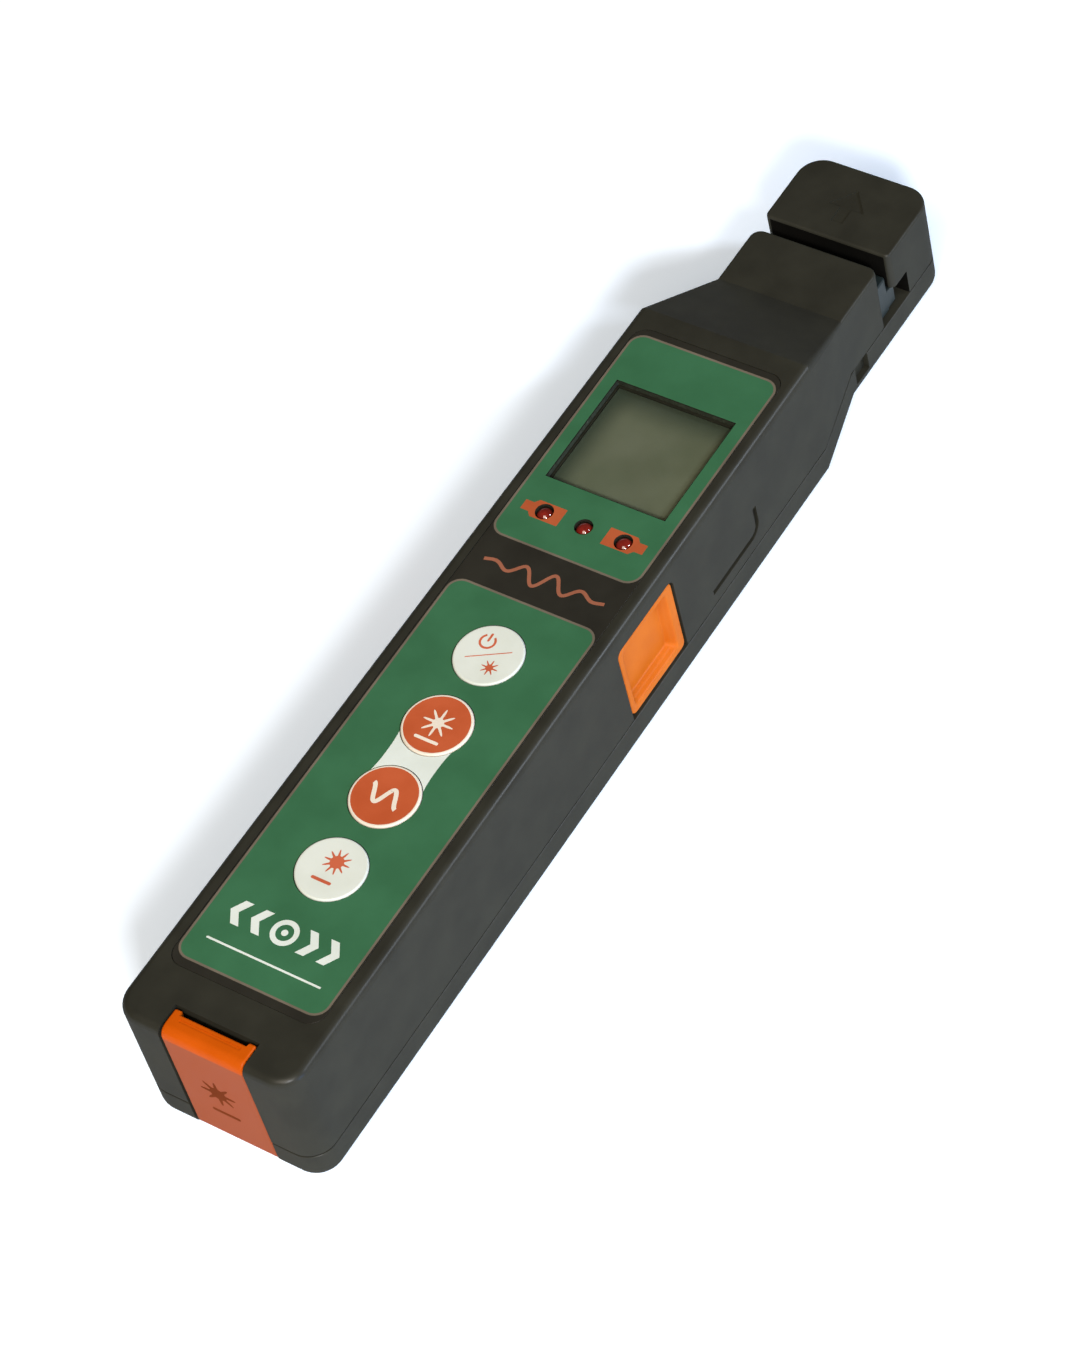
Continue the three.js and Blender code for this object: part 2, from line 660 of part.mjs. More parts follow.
const electronics = new THREE.Group();
const boardTop = BOARD.low + BOARD.thick + GAP;
electronics.add(mesh("main_board", mainBoard(), "board"));
const displayGlass = union(
  box([-12.2, 13.4, boardTop], [12.2, 39, 24.8]),
  box([1.3 - DISPLAY.half, DISPLAY.rear + 1.3, 24], [DISPLAY.half - 1.3, DISPLAY.front - 1.3, 25.5]),
);
electronics.add(mesh("display_module", displayGlass, "glass"));
electronics.add(mesh("processor_chip", box([-3.5, -4.5, boardTop], [3.5, 2.5, boardTop + 1.2]), "black"));
electronics.add(mesh("buzzer", cylinderZ(0, -42, 15.6, BOARD.low - GAP, 4.6), "black"));
KEYS.forEach(({ name }, i) => {
  const body = box([-3, -3, 0], [3, 3, 1.6]);
  const y = FIRST_KEY_Y + i * KEY_PITCH;
  electronics.add(placed(mesh(name.replace("key", "switch"), body, "black"), 0, y, boardTop));
});
{
  const { half, rear, front, low, high } = DETECTOR_BOARD;
  electronics.add(mesh("detector_board", box([-half, rear, low], [half, front, high]), "board"));
}
["left", "right"].forEach((side, i) => {
  const { x, z, face, back, radius } = DETECTOR;
  const body = cylinderY(x * (2 * i - 1), z, face, back, radius, 16);
  electronics.add(mesh(`photodiode_${side}`, body, "black"));
});
electronics.add(mesh("detector_flex", detectorFlex(), "flex"));
instrument.add(electronics);

const locator = new THREE.Group();
locator.add(mesh("fault_port", faultPort(), "steel"));
locator.add(mesh("laser_barrel", cylinderY(0, PORT_Z, -85.5, -70, 4.4), "brass"));
locator.add(mesh("fault_cover", faultCover(), "orange"));
locator.add(mesh("cover_pin", cylinderX(PIN.y, PIN.z, -8.9, 8.9, PIN.radius), "steel"));
instrument.add(locator);

const clamp = new THREE.Group();
clamp.add(mesh("clamp_jaw", clampJaw(), "jaw"));
clamp.add(mesh("pull_rod", cylinderY(0, ROD_Z, 3.3, JAW.rear + 3.7, 1.5, 14), "steel"));
clamp.add(mesh("slide_carriage", slideCarriage(), "black"));
const collar = cut(cylinderY(0, ROD_Z, 29, 30.4, 3.4), cylinderY(0, ROD_Z, 28, 32, 1.8, 14));
clamp.add(mesh("spring_collar", collar, "steel"));
clamp.add(placed(mesh("return_spring", coil(2.65, 0.35, 13.8, 28.7, 6, 12), "steel"), 0, 0, ROD_Z));
clamp.add(mesh("side_button_right", sideButton(), "orange"));
clamp.add(mesh("side_button_left", sideButton().mirror([1, 0, 0]), "orange"));
instrument.add(clamp);

const power = new THREE.Group();
const cellX = CELL.spacing / 2;
const CELL_END = 0.9; // from the bay's wall to the cell's cap, across the contact
const leftEnd = BAY.front - CELL_END - CELL.length;
const rightEnd = BAY.rear + CELL_END + CELL.length;
power.add(along(mesh("cell_left", cell(), "cell"), -cellX, leftEnd, CELL.z, -Math.PI / 2));
power.add(along(mesh("cell_right", cell(), "cell"), cellX, rightEnd, CELL.z, Math.PI / 2));
power.add(mesh("contact_strip_front",
  box([-9.5, BAY.front - 0.6, 3.5], [9.5, BAY.front - GAP, 11]), "brass"));
["left", "right"].forEach((side, i) => {
  const x = cellX * (2 * i - 1);
  const plate = box([x - 3.8, BAY.rear + GAP, 3.5], [x + 3.8, BAY.rear + 0.6, 11]);
  power.add(mesh(`contact_plate_${side}`, plate, "brass"));
});
power.add(placed(mesh("contact_spring_left",
  coil(2.8, 0.3, BAY.rear + CELL_END, BAY.rear + 5.0, 3, 10), "steel"), -cellX, 0, CELL.z));
power.add(placed(mesh("contact_spring_right",
  coil(2.8, 0.3, BAY.front - 5.0, BAY.front - CELL_END, 3, 10), "steel"), cellX, 0, CELL.z));
power.add(mesh("battery_door", batteryDoor(), "housing"));
instrument.add(power);

export default instrument;
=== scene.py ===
# %% [markdown]
# # A hand-held optical fibre identifier
#
# The instrument is a slim moulded case, 196 mm long, that lies on its back. Its head clamps a fibre,
# a small display and three lamps show what the fibre carries, and an orange cover at the rear hides
# a laser port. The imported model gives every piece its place, so each look built here lands on it.
# Lengths are written in millimetres and turned to metres when a mesh is made.

# %% Load the frame
import math

import bmesh
import bpy
import numpy as np
from mathutils import Matrix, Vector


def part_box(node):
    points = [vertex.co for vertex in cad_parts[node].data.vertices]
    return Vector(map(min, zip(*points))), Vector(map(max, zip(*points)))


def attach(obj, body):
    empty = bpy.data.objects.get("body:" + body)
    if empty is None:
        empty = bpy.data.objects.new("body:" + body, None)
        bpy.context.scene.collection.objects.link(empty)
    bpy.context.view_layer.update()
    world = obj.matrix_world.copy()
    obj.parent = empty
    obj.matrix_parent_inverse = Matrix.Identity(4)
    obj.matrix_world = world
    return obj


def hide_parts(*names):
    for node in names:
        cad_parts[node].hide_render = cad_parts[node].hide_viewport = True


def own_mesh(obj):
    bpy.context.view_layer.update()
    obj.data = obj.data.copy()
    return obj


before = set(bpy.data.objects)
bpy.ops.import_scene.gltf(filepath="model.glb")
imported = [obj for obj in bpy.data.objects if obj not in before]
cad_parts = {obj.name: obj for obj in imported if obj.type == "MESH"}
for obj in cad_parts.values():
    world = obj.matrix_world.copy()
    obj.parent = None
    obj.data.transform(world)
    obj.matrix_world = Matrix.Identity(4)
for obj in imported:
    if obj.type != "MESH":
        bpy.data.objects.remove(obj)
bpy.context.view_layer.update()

MM = 0.001


# %% Sizes that the pieces share
def box(node):
    """Lowest and highest corners of a CAD node, in millimetres."""
    low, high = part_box(node)
    return np.array(low) / MM, np.array(high) / MM


REAR = box("upper_shell")[0][1]
NECK_END = box("upper_shell")[1][1]
TIP = box("lower_shell")[1][1]
HALF_REAR = box("lower_shell")[1][0]
HOOK_START = box("head_hook")[0][1]
NECK_TOP = box("head_hook")[1][2]
NECK_HALF = box("head_hook")[1][0]
SHELL_TOP = 27.0
PARTING = 6.5
GAP = 0.3
SEAM_LOW, SEAM_HIGH = PARTING - GAP / 2, PARTING + GAP / 2
WALL = 1.8
CORNER = 4.5
SHOULDER_START = 52.0
SHOULDER_END = 67.5
HALF_FRONT = 16.1
FILM_TOP = box("panel_label")[1][2]
KEY_Y = {name: sum(box(f"key_{name}")[i][1] for i in (0, 1)) / 2
         for name in ("fault_locator", "wavelength", "light", "power")}
KEY_TOP = box("key_power")[1][2]
KEY_RADIUS = 5.75
LAMP_RADIUS = 1.5
LED_Y = sum(box("led_middle")[i][1] for i in (0, 1)) / 2
LED_X = {side: sum(box(f"led_{side}")[i][0] for i in (0, 1)) / 2 for side in ("left", "middle", "right")}
print("keys at y =", {k: round(v, 2) for k, v in KEY_Y.items()})

# %% [markdown]
# ## Camera, floor and light
#
# The camera stands behind the instrument's right rear corner, high above it, and is rolled so that
# the instrument rises across the frame. The floor is a white sheet, lit a little from within so that
# shadows stay faint, and the sky is bright only in a narrow band at the horizon. Overhead it is dark,
# so the top of the black case stays dark while its sides pick up the pale floor.
#
# There are four lamps. A large one overhead gives most of the light. Two small ones stand where the
# rear right corner and the right top edge mirror them to the camera, for the lights along those edges.
# A low blue one on the right cools the side.

# %% Camera
CAMERA_PLACE = (0.3113, -0.3149, 0.5597)
CAMERA_AXES = ((0.82991, 0.52950, -0.17574), (-0.33801, 0.72782, 0.59668), (0.44385, -0.43579, 0.78300))
camera = bpy.data.objects.new("camera", bpy.data.cameras.new("camera"))
bpy.context.scene.collection.objects.link(camera)
camera.matrix_world = Matrix.Translation(CAMERA_PLACE) @ Matrix(CAMERA_AXES).transposed().to_4x4()
camera.data.sensor_width = 36
camera.data.lens = 118.8
camera.data.clip_start = 0.01
bpy.context.scene.camera = camera
bpy.context.scene.view_settings.view_transform = "Standard"
print("camera", [round(v, 3) for v in camera.location], "lens", camera.data.lens)


# %% Colour and node helpers
def srgb(code):
    """Linear colour of an sRGB hex value: c / 12.92 up to 0.04045, and ((c + 0.055) / 1.055) ** 2.4 above."""
    c = np.array([int(code[i:i + 2], 16) for i in (1, 3, 5)]) / 255
    return (*np.where(c <= 0.04045, c / 12.92, ((c + 0.055) / 1.055) ** 2.4).tolist(), 1.0)


def add(tree, kind, inputs=None, ramp=None, **settings):
    """Adds a node with its settings. Each input is a value, or an output socket to link from."""
    made = tree.nodes.new("ShaderNode" + kind)
    for key, value in settings.items():
        setattr(made, key, value)
    for key, value in (inputs or {}).items():
        if isinstance(value, bpy.types.NodeSocket):
            tree.links.new(value, made.inputs[key])
        else:
            made.inputs[key].default_value = value
    if ramp:
        stops = made.color_ramp.elements
        for i, (position, colour) in enumerate(ramp):
            stop = stops[i] if i < 2 else stops.new(position)
            stop.position = position
            stop.color = colour
    return made


# %% World and lamps
world = bpy.data.worlds.new("studio")
world.use_nodes = True
bpy.context.scene.world = world
sky = world.node_tree
sky.nodes.clear()
direction = add(sky, "TexCoord").outputs["Generated"]
height = add(sky, "SeparateXYZ", {"Vector": direction}).outputs["Z"]
shade = add(sky, "ValToRGB", {"Fac": height}, ramp=[
    (0.0, srgb("#eef3f8")), (1.0, srgb("#2a2a29")), (0.05, srgb("#c8d0d6")), (0.15, srgb("#3c3c3b"))])
glow = add(sky, "Background", {"Color": shade.outputs["Color"], "Strength": 1.0})
add(sky, "OutputWorld", {"Surface": glow.outputs["Background"]})


def lamp(name, place, size, power, colour):
    """A square soft lamp that faces the instrument's middle."""
    data = bpy.data.lights.new(name, "AREA")
    data.size = size
    data.energy = power
    data.color = srgb(colour)[:3]
    made = bpy.data.objects.new(name, data)
    bpy.context.scene.collection.objects.link(made)
    made.location = place
    made.rotation_mode = "QUATERNION"
    made.rotation_quaternion = made.location.to_track_quat("Z", "Y")
    return made


lamp("overhead_lamp", (0.5, -1.3, 1.7), 1.3, 37, "#fff2e0")
lamp("corner_lamp", (0.97, -0.99, 1.08), 0.22, 23, "#f6f8fc")
lamp("side_lamp", (1.30, 0.79, 0.95), 0.22, 16, "#e2edff")
lamp("fill_lamp", (1.75, -0.20, 0.38), 0.6, 12, "#7cb0ff")

# %% Floor
FLOOR_HALF = 1.2
FLOOR_Z = -0.00005
floor_mesh = bpy.data.meshes.new("floor")
floor_corners = [(x * FLOOR_HALF, y * FLOOR_HALF, FLOOR_Z) for x, y in ((-1, -1), (1, -1), (1, 1), (-1, 1))]
floor_mesh.from_pydata(floor_corners, [], [(0, 1, 2, 3)])
floor = bpy.data.objects.new("floor", floor_mesh)
bpy.context.scene.collection.objects.link(floor)
sheet = bpy.data.materials.new("white_backlit_sheet")
sheet.use_nodes = True
sheet_inputs = sheet.node_tree.nodes["Principled BSDF"].inputs
for name, value in (("Base Color", srgb("#f4faff")), ("Roughness", 0.9), ("Specular IOR Level", 0.1),
                    ("Emission Color", srgb("#cbe3ff")), ("Emission Strength", 0.3)):
    sheet_inputs[name].default_value = value
floor_mesh.materials.append(sheet)
print("stage ready")

# %% [markdown]
# ## Shapes as stacked loops
#
# Nearly every piece of a moulded instrument is an outline carried along a straight line, with its
# edges rounded. So one idea serves for all of them: a stack of closed loops with the same number of
# points, joined into a skin and closed at both ends. An outline is a row of points that goes
# anticlockwise, and the skin then faces outwards.


# %% Outlines
def arc(x, y, radius, start, end, count=9):
    """Points of a circle's arc: centre + radius * (cos a, sin a), for a from start to end in degrees."""
    a = np.radians(np.linspace(start, end, count))
    return np.stack([x + radius * np.cos(a), y + radius * np.sin(a)], axis=1)


def rounded(x0, y0, x1, y1, r, count=9):
    """A rectangle with its corners rounded to radius r."""
    return np.concatenate([arc(x1 - r, y0 + r, r, -90, 0, count), arc(x1 - r, y1 - r, r, 0, 90, count),
                           arc(x0 + r, y1 - r, r, 90, 180, count), arc(x0 + r, y0 + r, r, 180, 270, count)])


def stroke(path, width):
    """The outline of a pen line: the path moved by half its width to either side along its normal."""
    path = np.asarray(path, float)
    along = np.gradient(path, axis=0)
    along /= np.linalg.norm(along, axis=1, keepdims=True)
    side = np.stack([-along[:, 1], along[:, 0]], axis=1) * width / 2
    return np.concatenate([path - side, (path + side)[::-1]])


def shrink(outline, by):
    """Each point moved inwards by `by`: p - n * by / cos(half the turn), n the mean normal there."""
    before = outline - np.roll(outline, 1, axis=0)
    after = np.roll(outline, -1, axis=0) - outline
    before /= np.linalg.norm(before, axis=1, keepdims=True)
    after /= np.linalg.norm(after, axis=1, keepdims=True)
    normal = np.stack([before[:, 1] + after[:, 1], -before[:, 0] - after[:, 0]], axis=1)
    normal /= np.linalg.norm(normal, axis=1, keepdims=True)
    cosine = np.clip(normal[:, 0] * after[:, 1] - normal[:, 1] * after[:, 0], 0.5, 1)
    return outline - normal * (by / cosine)[:, None]


def anticlockwise(outline):
    """The outline turned round if twice its area, the sum of x * dy - y * dx, is negative."""
    x, y = np.asarray(outline, float).T
    turn = np.sum(x * np.roll(y, -1) - y * np.roll(x, -1))
    return np.asarray(outline, float)[::1 if turn > 0 else -1]


# %% Skins
Z_UP = [0, 1, 2]
ALONG_X = [2, 0, 1]  # an outline drawn in (y, z) and carried along x
ALONG_Y = [1, 2, 0]  # an outline drawn in (z, x) and carried along y


def loft(loops, caps=True, ring=False, axes=Z_UP):
    """(points, faces) of loops, an array of shape (levels, points, 3), each loop joined to the next."""
    levels, count = loops.shape[:2]
    index = np.arange(levels * count).reshape(levels, count)
    low, high = (index, np.roll(index, -1, axis=0)) if ring else (index[:-1], index[1:])
    quads = np.stack([low, np.roll(low, -1, axis=1), np.roll(high, -1, axis=1), high], axis=-1)
    faces = quads.reshape(-1, 4).tolist()
    if caps:
        faces += [index[0][::-1].tolist(), index[-1].tolist()]
    return loops.reshape(-1, 3)[:, axes], faces


def lift(outline, height):
    """The outline as 3-D points at one height, or at one height for each point."""
    return np.column_stack([outline, np.broadcast_to(height, len(outline))])


def slab(outline, low, high, edge=0.0, axes=Z_UP, steps=4):
    """An outline carried from low to high. Its two rims are quarter rounds of radius edge:
    drawn in by edge * (1 - cos a) at edge * (1 - sin a) from the end."""
    outline = anticlockwise(outline)
    a = np.radians(np.linspace(0, 90, steps + 1)) if edge else np.zeros(1)
    inset, drop = edge * (1 - np.cos(a)), edge * (1 - np.sin(a))
    rows = [lift(shrink(outline, i), low + d) for i, d in zip(inset[::-1], drop[::-1])]
    rows += [lift(shrink(outline, i), high - d) for i, d in zip(inset, drop)]
    return loft(np.array(rows), axes=axes)


def block(x0, y0, z0, x1, y1, z1, edge=0.0):
    """A rectangular block between two corners, with rounded rims if asked."""
    return slab(np.array([[x0, y0], [x1, y0], [x1, y1], [x0, y1]], float), z0, z1, edge)


def lathe(profile, x=0.0, y=0.0, axes=Z_UP, sides=64):
    """A profile of (radius, height) turned about an upright axis: (r cos a, r sin a, h)."""
    r, h = np.asarray(profile, float).T
    a = np.linspace(0, 2 * np.pi, sides, endpoint=False)
    loops = np.stack([x + r[:, None] * np.cos(a), y + r[:, None] * np.sin(a),
                      np.broadcast_to(h[:, None], (len(r), sides))], axis=-1)
    return loft(loops, caps=bool(r[0] > 0 and r[-1] > 0), axes=axes)


def together(*shapes):
    """Several shapes as one, side by side."""
    offsets = np.cumsum([0] + [len(points) for points, _ in shapes])
    faces = [[i + start for i in face] for (_, group), start in zip(shapes, offsets) for face in group]
    return np.concatenate([points for points, _ in shapes]), faces


def mirrored(shape):
    """The shape reflected in the plane x = 0, with its faces turned back outwards."""
    points, faces = shape
    return points * [-1, 1, 1], [face[::-1] for face in faces]


print("a slab has", len(slab(rounded(-1, -1, 1, 1, 0.3), 0, 1, 0.2)[1]), "faces")


# %% From shape to piece
def to_mesh(shape):
    """A Blender mesh of a shape, in metres, with doubled points merged."""
    made = bpy.data.meshes.new("shape")
    made.from_pydata((shape[0] * MM).tolist(), [], shape[1])
    work = bmesh.new()
    work.from_mesh(made)
    bmesh.ops.remove_doubles(work, verts=work.verts, dist=2e-7)
    work.to_mesh(made)
    work.free()
    return made


def carve(shape, *tools, how="DIFFERENCE"):
    """The shape less each tool, or joined with each by how="UNION", with exact boolean modifiers."""
    target = bpy.data.objects.new("target", shape if isinstance(shape, bpy.types.Mesh) else to_mesh(shape))
    bpy.context.scene.collection.objects.link(target)
    helpers = []
    for tool in tools:
        helper = bpy.data.objects.new("tool", tool if isinstance(tool, bpy.types.Mesh) else to_mesh(tool))
        bpy.context.scene.collection.objects.link(helper)
        change = target.modifiers.new("cut", "BOOLEAN")
        change.operation = how
        change.object = helper
        helpers.append(helper)
    evaluated = target.evaluated_get(bpy.context.evaluated_depsgraph_get())
    made = bpy.data.meshes.new_from_object(evaluated)
    for helper in [target, *helpers]:
        bpy.data.objects.remove(helper)
    return made


def piece(name, shape, finish, body, *stands_for, slot=None, second=None, choose=None, sharp=32):
    """A finished piece: the mesh of a shape with its material, smooth across edges flatter than sharp.
    choose gives, from the faces' middles in mm, which faces take the second material."""
    mesh = shape if isinstance(shape, bpy.types.Mesh) else to_mesh(shape)
    mesh.name = name
    mesh.materials.clear()
    mesh.materials.append(finish)
    if second:
        mesh.materials.append(second)
        middle = np.zeros(len(mesh.polygons) * 3)
        mesh.polygons.foreach_get("center", middle)
        chosen = choose(*(middle.reshape(-1, 3).T / MM))
        mesh.polygons.foreach_set("material_index", np.asarray(chosen, np.int32))
    mesh.shade_smooth()
    mesh.set_sharp_from_angle(angle=math.radians(sharp))
    made = bpy.data.objects.new(name, mesh)
    bpy.context.scene.collection.objects.link(made)
    flat = made.modifiers.new("even_shading", "WEIGHTED_NORMAL")
    flat.keep_sharp = True
    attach(made, body)
    if stands_for:
        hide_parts(*stands_for)
    print(f"{name}: {len(mesh.polygons)} faces")
    return made


# %% [markdown]
# ## Finishes
#
# A moulded plastic is never one even colour. Its mould was spark-eroded, so the skin has a fine grain
# that scatters light, and it is a little smoother where hands rub it. One recipe gives all the
# plastics: a slow cloud that shifts the colour and the gloss, and a fine grain that is felt only as
# bump. Sizes of grain are real ones in millimetres, drawn a little coarse so that they show.


# %% Moulded plastics and inks
def moulded(name, light, dark, gloss, grain=0.35, depth=0.012, cloud=7.0, coat=0.0, coat_ior=1.5, shine=0.5,
            grades=()):
    """A plastic whose colour drifts between dark and light, with roughness from gloss[0] to gloss[1].
    grain is the width of its texture and depth its height, cloud the width of the drift, all in mm.
    shine is the share of surface reflection: a half for a plain skin, less for a matt-lacquered one.
    coat is the share of the skin under a clear layer, which shines more evenly at every angle.
    Each grade (axis, start, end, colour) fades to another colour between two places along an axis."""
    material = bpy.data.materials.new(name)
    material.use_nodes = True
    tree = material.node_tree
    tree.nodes.clear()
    place = add(tree, "TexCoord").outputs["Object"]
    drift = add(tree, "TexNoise", {"Vector": place, "Scale": 1 / (cloud * MM), "Detail": 4.0}).outputs["Fac"]
    fine = add(tree, "TexNoise", {"Vector": place, "Scale": 1 / (grain * MM), "Detail": 2.0}).outputs["Fac"]
    stops = [(0.35, srgb(dark)), (0.65, srgb(light))]
    tone = add(tree, "ValToRGB", {"Fac": drift}, ramp=stops).outputs["Color"]
    for axis, start, end, colour in grades:
        along = add(tree, "SeparateXYZ", {"Vector": place}).outputs[axis]
        share = add(tree, "MapRange", {"Value": along, "From Min": start * MM, "From Max": end * MM},
                    interpolation_type="SMOOTHSTEP").outputs["Result"]
        tone = add(tree, "MixRGB", {"Fac": share, "Color1": tone, "Color2": srgb(colour)}).outputs["Color"]
    rough = add(tree, "MapRange", {"Value": drift, "From Min": 0.3, "From Max": 0.7,
                                   "To Min": gloss[0], "To Max": gloss[1]}).outputs["Result"]
    skin = add(tree, "Bump", {"Height": fine, "Strength": 1.0, "Distance": depth * MM}).outputs["Normal"]
    shader = add(tree, "BsdfPrincipled", {"Base Color": tone, "Roughness": rough, "Normal": skin, "IOR": 1.5,
                                          "Coat Weight": coat, "Coat Roughness": rough, "Coat Normal": skin,
                                          "Coat IOR": coat_ior, "Specular IOR Level": shine})
    add(tree, "OutputMaterial", {"Surface": shader.outputs["BSDF"]})
    return material


# ABS from a spark-eroded mould: a dull black with a fine even grain.
black_abs = moulded("spark_textured_black_abs", "#2f2e26", "#292821", (0.31, 0.38), grain=0.30, depth=0.004,
                    coat=0.12, coat_ior=2.0, shine=0.0)
# Painted shade: a near-black copy of the case's ABS, for faces deep in the slot and in the hook's mouth.
painted_slot_shade = moulded("painted_shade_black_in_the_slot", "#100f0d", "#0c0c0a", (0.7, 0.8), grain=0.30, depth=0.010,
                   shine=0.0)
# The same ABS on the orange pieces, dyed through, with a satin skin.
orange_abs = moulded("satin_orange_abs", "#c0641a", "#b85c14", (0.34, 0.42), grain=0.40, depth=0.006,
                     coat=0.2, shine=0.0)
# Painted shade: on the cover, the face below the lip fades to a dull brown.
cover_abs_painted_shade = moulded("satin_orange_abs_cover_painted_shade", "#be4f05", "#b64b04", (0.34, 0.42), grain=0.40, depth=0.006,
                    coat=0.2, shine=0.0, grades=[("Z", 25.3, 24.7, "#924728")])
cover_ink = moulded("pad_print_umber", "#71371f", "#66301a", (0.60, 0.70), grain=0.3, depth=0.004, shine=0.0)
# Glass-filled nylon of the jaw: slate, harder and smoother than the case.
slate_nylon = moulded("slate_nylon", "#222a29", "#1c2423", (0.38, 0.46), grain=0.5, depth=0.006, shine=0.15)
# Polyester film under a matt lacquer, printed from behind: flat, satin, with faint orange peel.
FILM = {"gloss": (0.36, 0.42), "grain": 1.2, "depth": 0.004, "shine": 0.22}
film_black = moulded("printed_film_black", "#2b2922", "#25231d", **FILM)
film_green = moulded("printed_film_green", "#376645", "#336040", **FILM)
film_line = moulded("printed_film_line", "#6e6455", "#62594b", **FILM)
film_white = moulded("printed_film_white", "#d4d9ce", "#ccd1c5", **FILM)
film_brown = moulded("printed_film_brown", "#965d45", "#8c543d", **FILM)
film_orange = moulded("printed_film_orange", "#aa5430", "#a04c2a", **FILM)
# Silicone rubber keys with a soft-touch lacquer: silky, slightly uneven, with printed inks.
KEY_SKIN = {"gloss": (0.40, 0.50), "grain": 0.25, "shine": 0.3}
white_silicone = moulded("lacquered_white_silicone", "#d2d5c8", "#cbcec0", depth=0.006, **KEY_SKIN)
red_silicone = moulded("lacquered_red_silicone", "#b85630", "#ae4e29", depth=0.006, **KEY_SKIN)
red_ink = moulded("tampo_ink_red", "#c06040", "#b45638", depth=0.004, **KEY_SKIN)
cream_ink = moulded("tampo_ink_cream", "#e2d6c2", "#d8ccb8", depth=0.004, **KEY_SKIN)
# Inside: boards under green solder mask, black moulding compound, amber polyimide, shrink wrap.
solder_mask = moulded("green_solder_mask", "#1f6038", "#174c2c", (0.31, 0.38), grain=1.6, depth=0.02,
                      cloud=2.5)
black_epoxy = moulded("black_moulding_compound", "#1d1e20", "#151617", (0.45, 0.60), grain=0.2, depth=0.008)
polyimide = moulded("amber_polyimide", "#b06e22", "#9a5c18", (0.30, 0.40), grain=0.8, depth=0.006, cloud=3.0)
cell_wrap = moulded("shrink_wrap_blue_grey", "#41525e", "#394954", (0.22, 0.30), grain=2.0, depth=0.006,
                    coat=0.3)
zirconia = moulded("polished_zirconia", "#f1efe8", "#e8e5dc", (0.12, 0.18), grain=0.6, depth=0.001)
print(len(bpy.data.materials), "materials so far")


# %% Metals, lamp epoxy, glass
def metal(name, light, dark, gloss, stretch, grain=0.12, depth=0.003):
    """A metal whose fine lines are noise pulled out along one axis: stretch is the pull on x, y and z."""
    material = bpy.data.materials.new(name)
    material.use_nodes = True
    tree = material.node_tree
    tree.nodes.clear()
    place = add(tree, "TexCoord").outputs["Object"]
    pulled = add(tree, "Mapping", {"Vector": place, "Scale": stretch}).outputs["Vector"]
    lines = add(tree, "TexNoise", {"Vector": pulled, "Scale": 1 / (grain * MM), "Detail": 3.0}).outputs["Fac"]
    stops = [(0.3, srgb(dark)), (0.7, srgb(light))]
    tone = add(tree, "ValToRGB", {"Fac": lines}, ramp=stops).outputs["Color"]
    rough = add(tree, "MapRange", {"Value": lines, "To Min": gloss[0], "To Max": gloss[1]}).outputs["Result"]
    skin = add(tree, "Bump", {"Height": lines, "Strength": 1.0, "Distance": depth * MM}).outputs["Normal"]
    shader = add(tree, "BsdfPrincipled", {"Base Color": tone, "Metallic": 1.0, "Roughness": rough,
                                          "Normal": skin})
    add(tree, "OutputMaterial", {"Surface": shader.outputs["BSDF"]})
    return material


# Zinc-plated steel of screws and springs, turned steel of rods, and rolled brass contacts.
zinc_steel = metal("zinc_plated_steel", "#c6c8cb", "#a9abae", (0.26, 0.40), (1, 1, 0.2))
turned_steel = metal("turned_steel", "#c0c1c3", "#9fa1a4", (0.18, 0.32), (0.15, 1, 1))
rolled_brass = metal("rolled_brass", "#c9a858", "#b39145", (0.25, 0.38), (1, 1, 0.1))
nickel_plate = metal("nickel_plated_brass", "#cfcac0", "#b4afa6", (0.16, 0.28), (0.2, 1, 0.2))


ACRYLIC_IOR = 1.49


def clear(name, tint, edge, roughness, see_through):
    """A clear plate: light passes straight through it by the share see_through, and its gloss grows
    towards grazing angles by the Fresnel law. Light on its way out isn't turned back, as the plate's
    far face is parallel to its near one. A slow ripple, 6 mm wide, bends the gloss a little."""
    material = bpy.data.materials.new(name)
    material.use_nodes = True
    tree = material.node_tree
    tree.nodes.clear()
    place = add(tree, "TexCoord").outputs["Object"]
    ripple = add(tree, "TexNoise", {"Vector": place, "Scale": 1 / (6 * MM), "Detail": 1.0}).outputs["Fac"]
    skin = add(tree, "Bump", {"Height": ripple, "Strength": 0.4, "Distance": 0.02 * MM}).outputs["Normal"]
    stops = [(0.3, srgb(edge)), (0.7, srgb(tint))]
    tone = add(tree, "ValToRGB", {"Fac": ripple}, ramp=stops).outputs["Color"]
    through = add(tree, "BsdfTransparent", {"Color": tone})
    gloss = add(tree, "BsdfPrincipled", {"Base Color": srgb("#0c0d0c"), "Roughness": roughness,
                                         "Normal": skin, "IOR": ACRYLIC_IOR})
    share = add(tree, "Fresnel", {"IOR": ACRYLIC_IOR, "Normal": skin}).outputs["Fac"]
    spread = {"Value": share, "To Min": 1 - see_through, "To Max": 1.0}
    scaled = add(tree, "MapRange", spread).outputs["Result"]
    inside = add(tree, "NewGeometry").outputs["Backfacing"]
    front = add(tree, "Math", {0: scaled, 1: inside}, operation="SUBTRACT", use_clamp=True).outputs["Value"]
    both = add(tree, "MixShader", {0: front, 1: through.outputs["BSDF"], 2: gloss.outputs["BSDF"]})
    add(tree, "OutputMaterial", {"Surface": both.outputs["Shader"]})
    return material


acrylic = clear("cast_acrylic_window", "#fbfcfa", "#f8faf7", 0.06, 0.97)
# The plate's edges turn back the light that meets them from inside, like a dull mirror.
acrylic_edge = metal("sawn_acrylic_edge", "#8d9080", "#7c7f70", (0.40, 0.55), (1, 1, 0.3), grain=0.3)

# Red-tinted epoxy of a lamp: glossy, dark while the lamp is off, with a paler heart.
lamp_epoxy = moulded("red_lamp_epoxy", "#7c2016", "#5e150e", (0.06, 0.10), grain=1.0, depth=0.001, cloud=1.5,
                     coat=1.0)
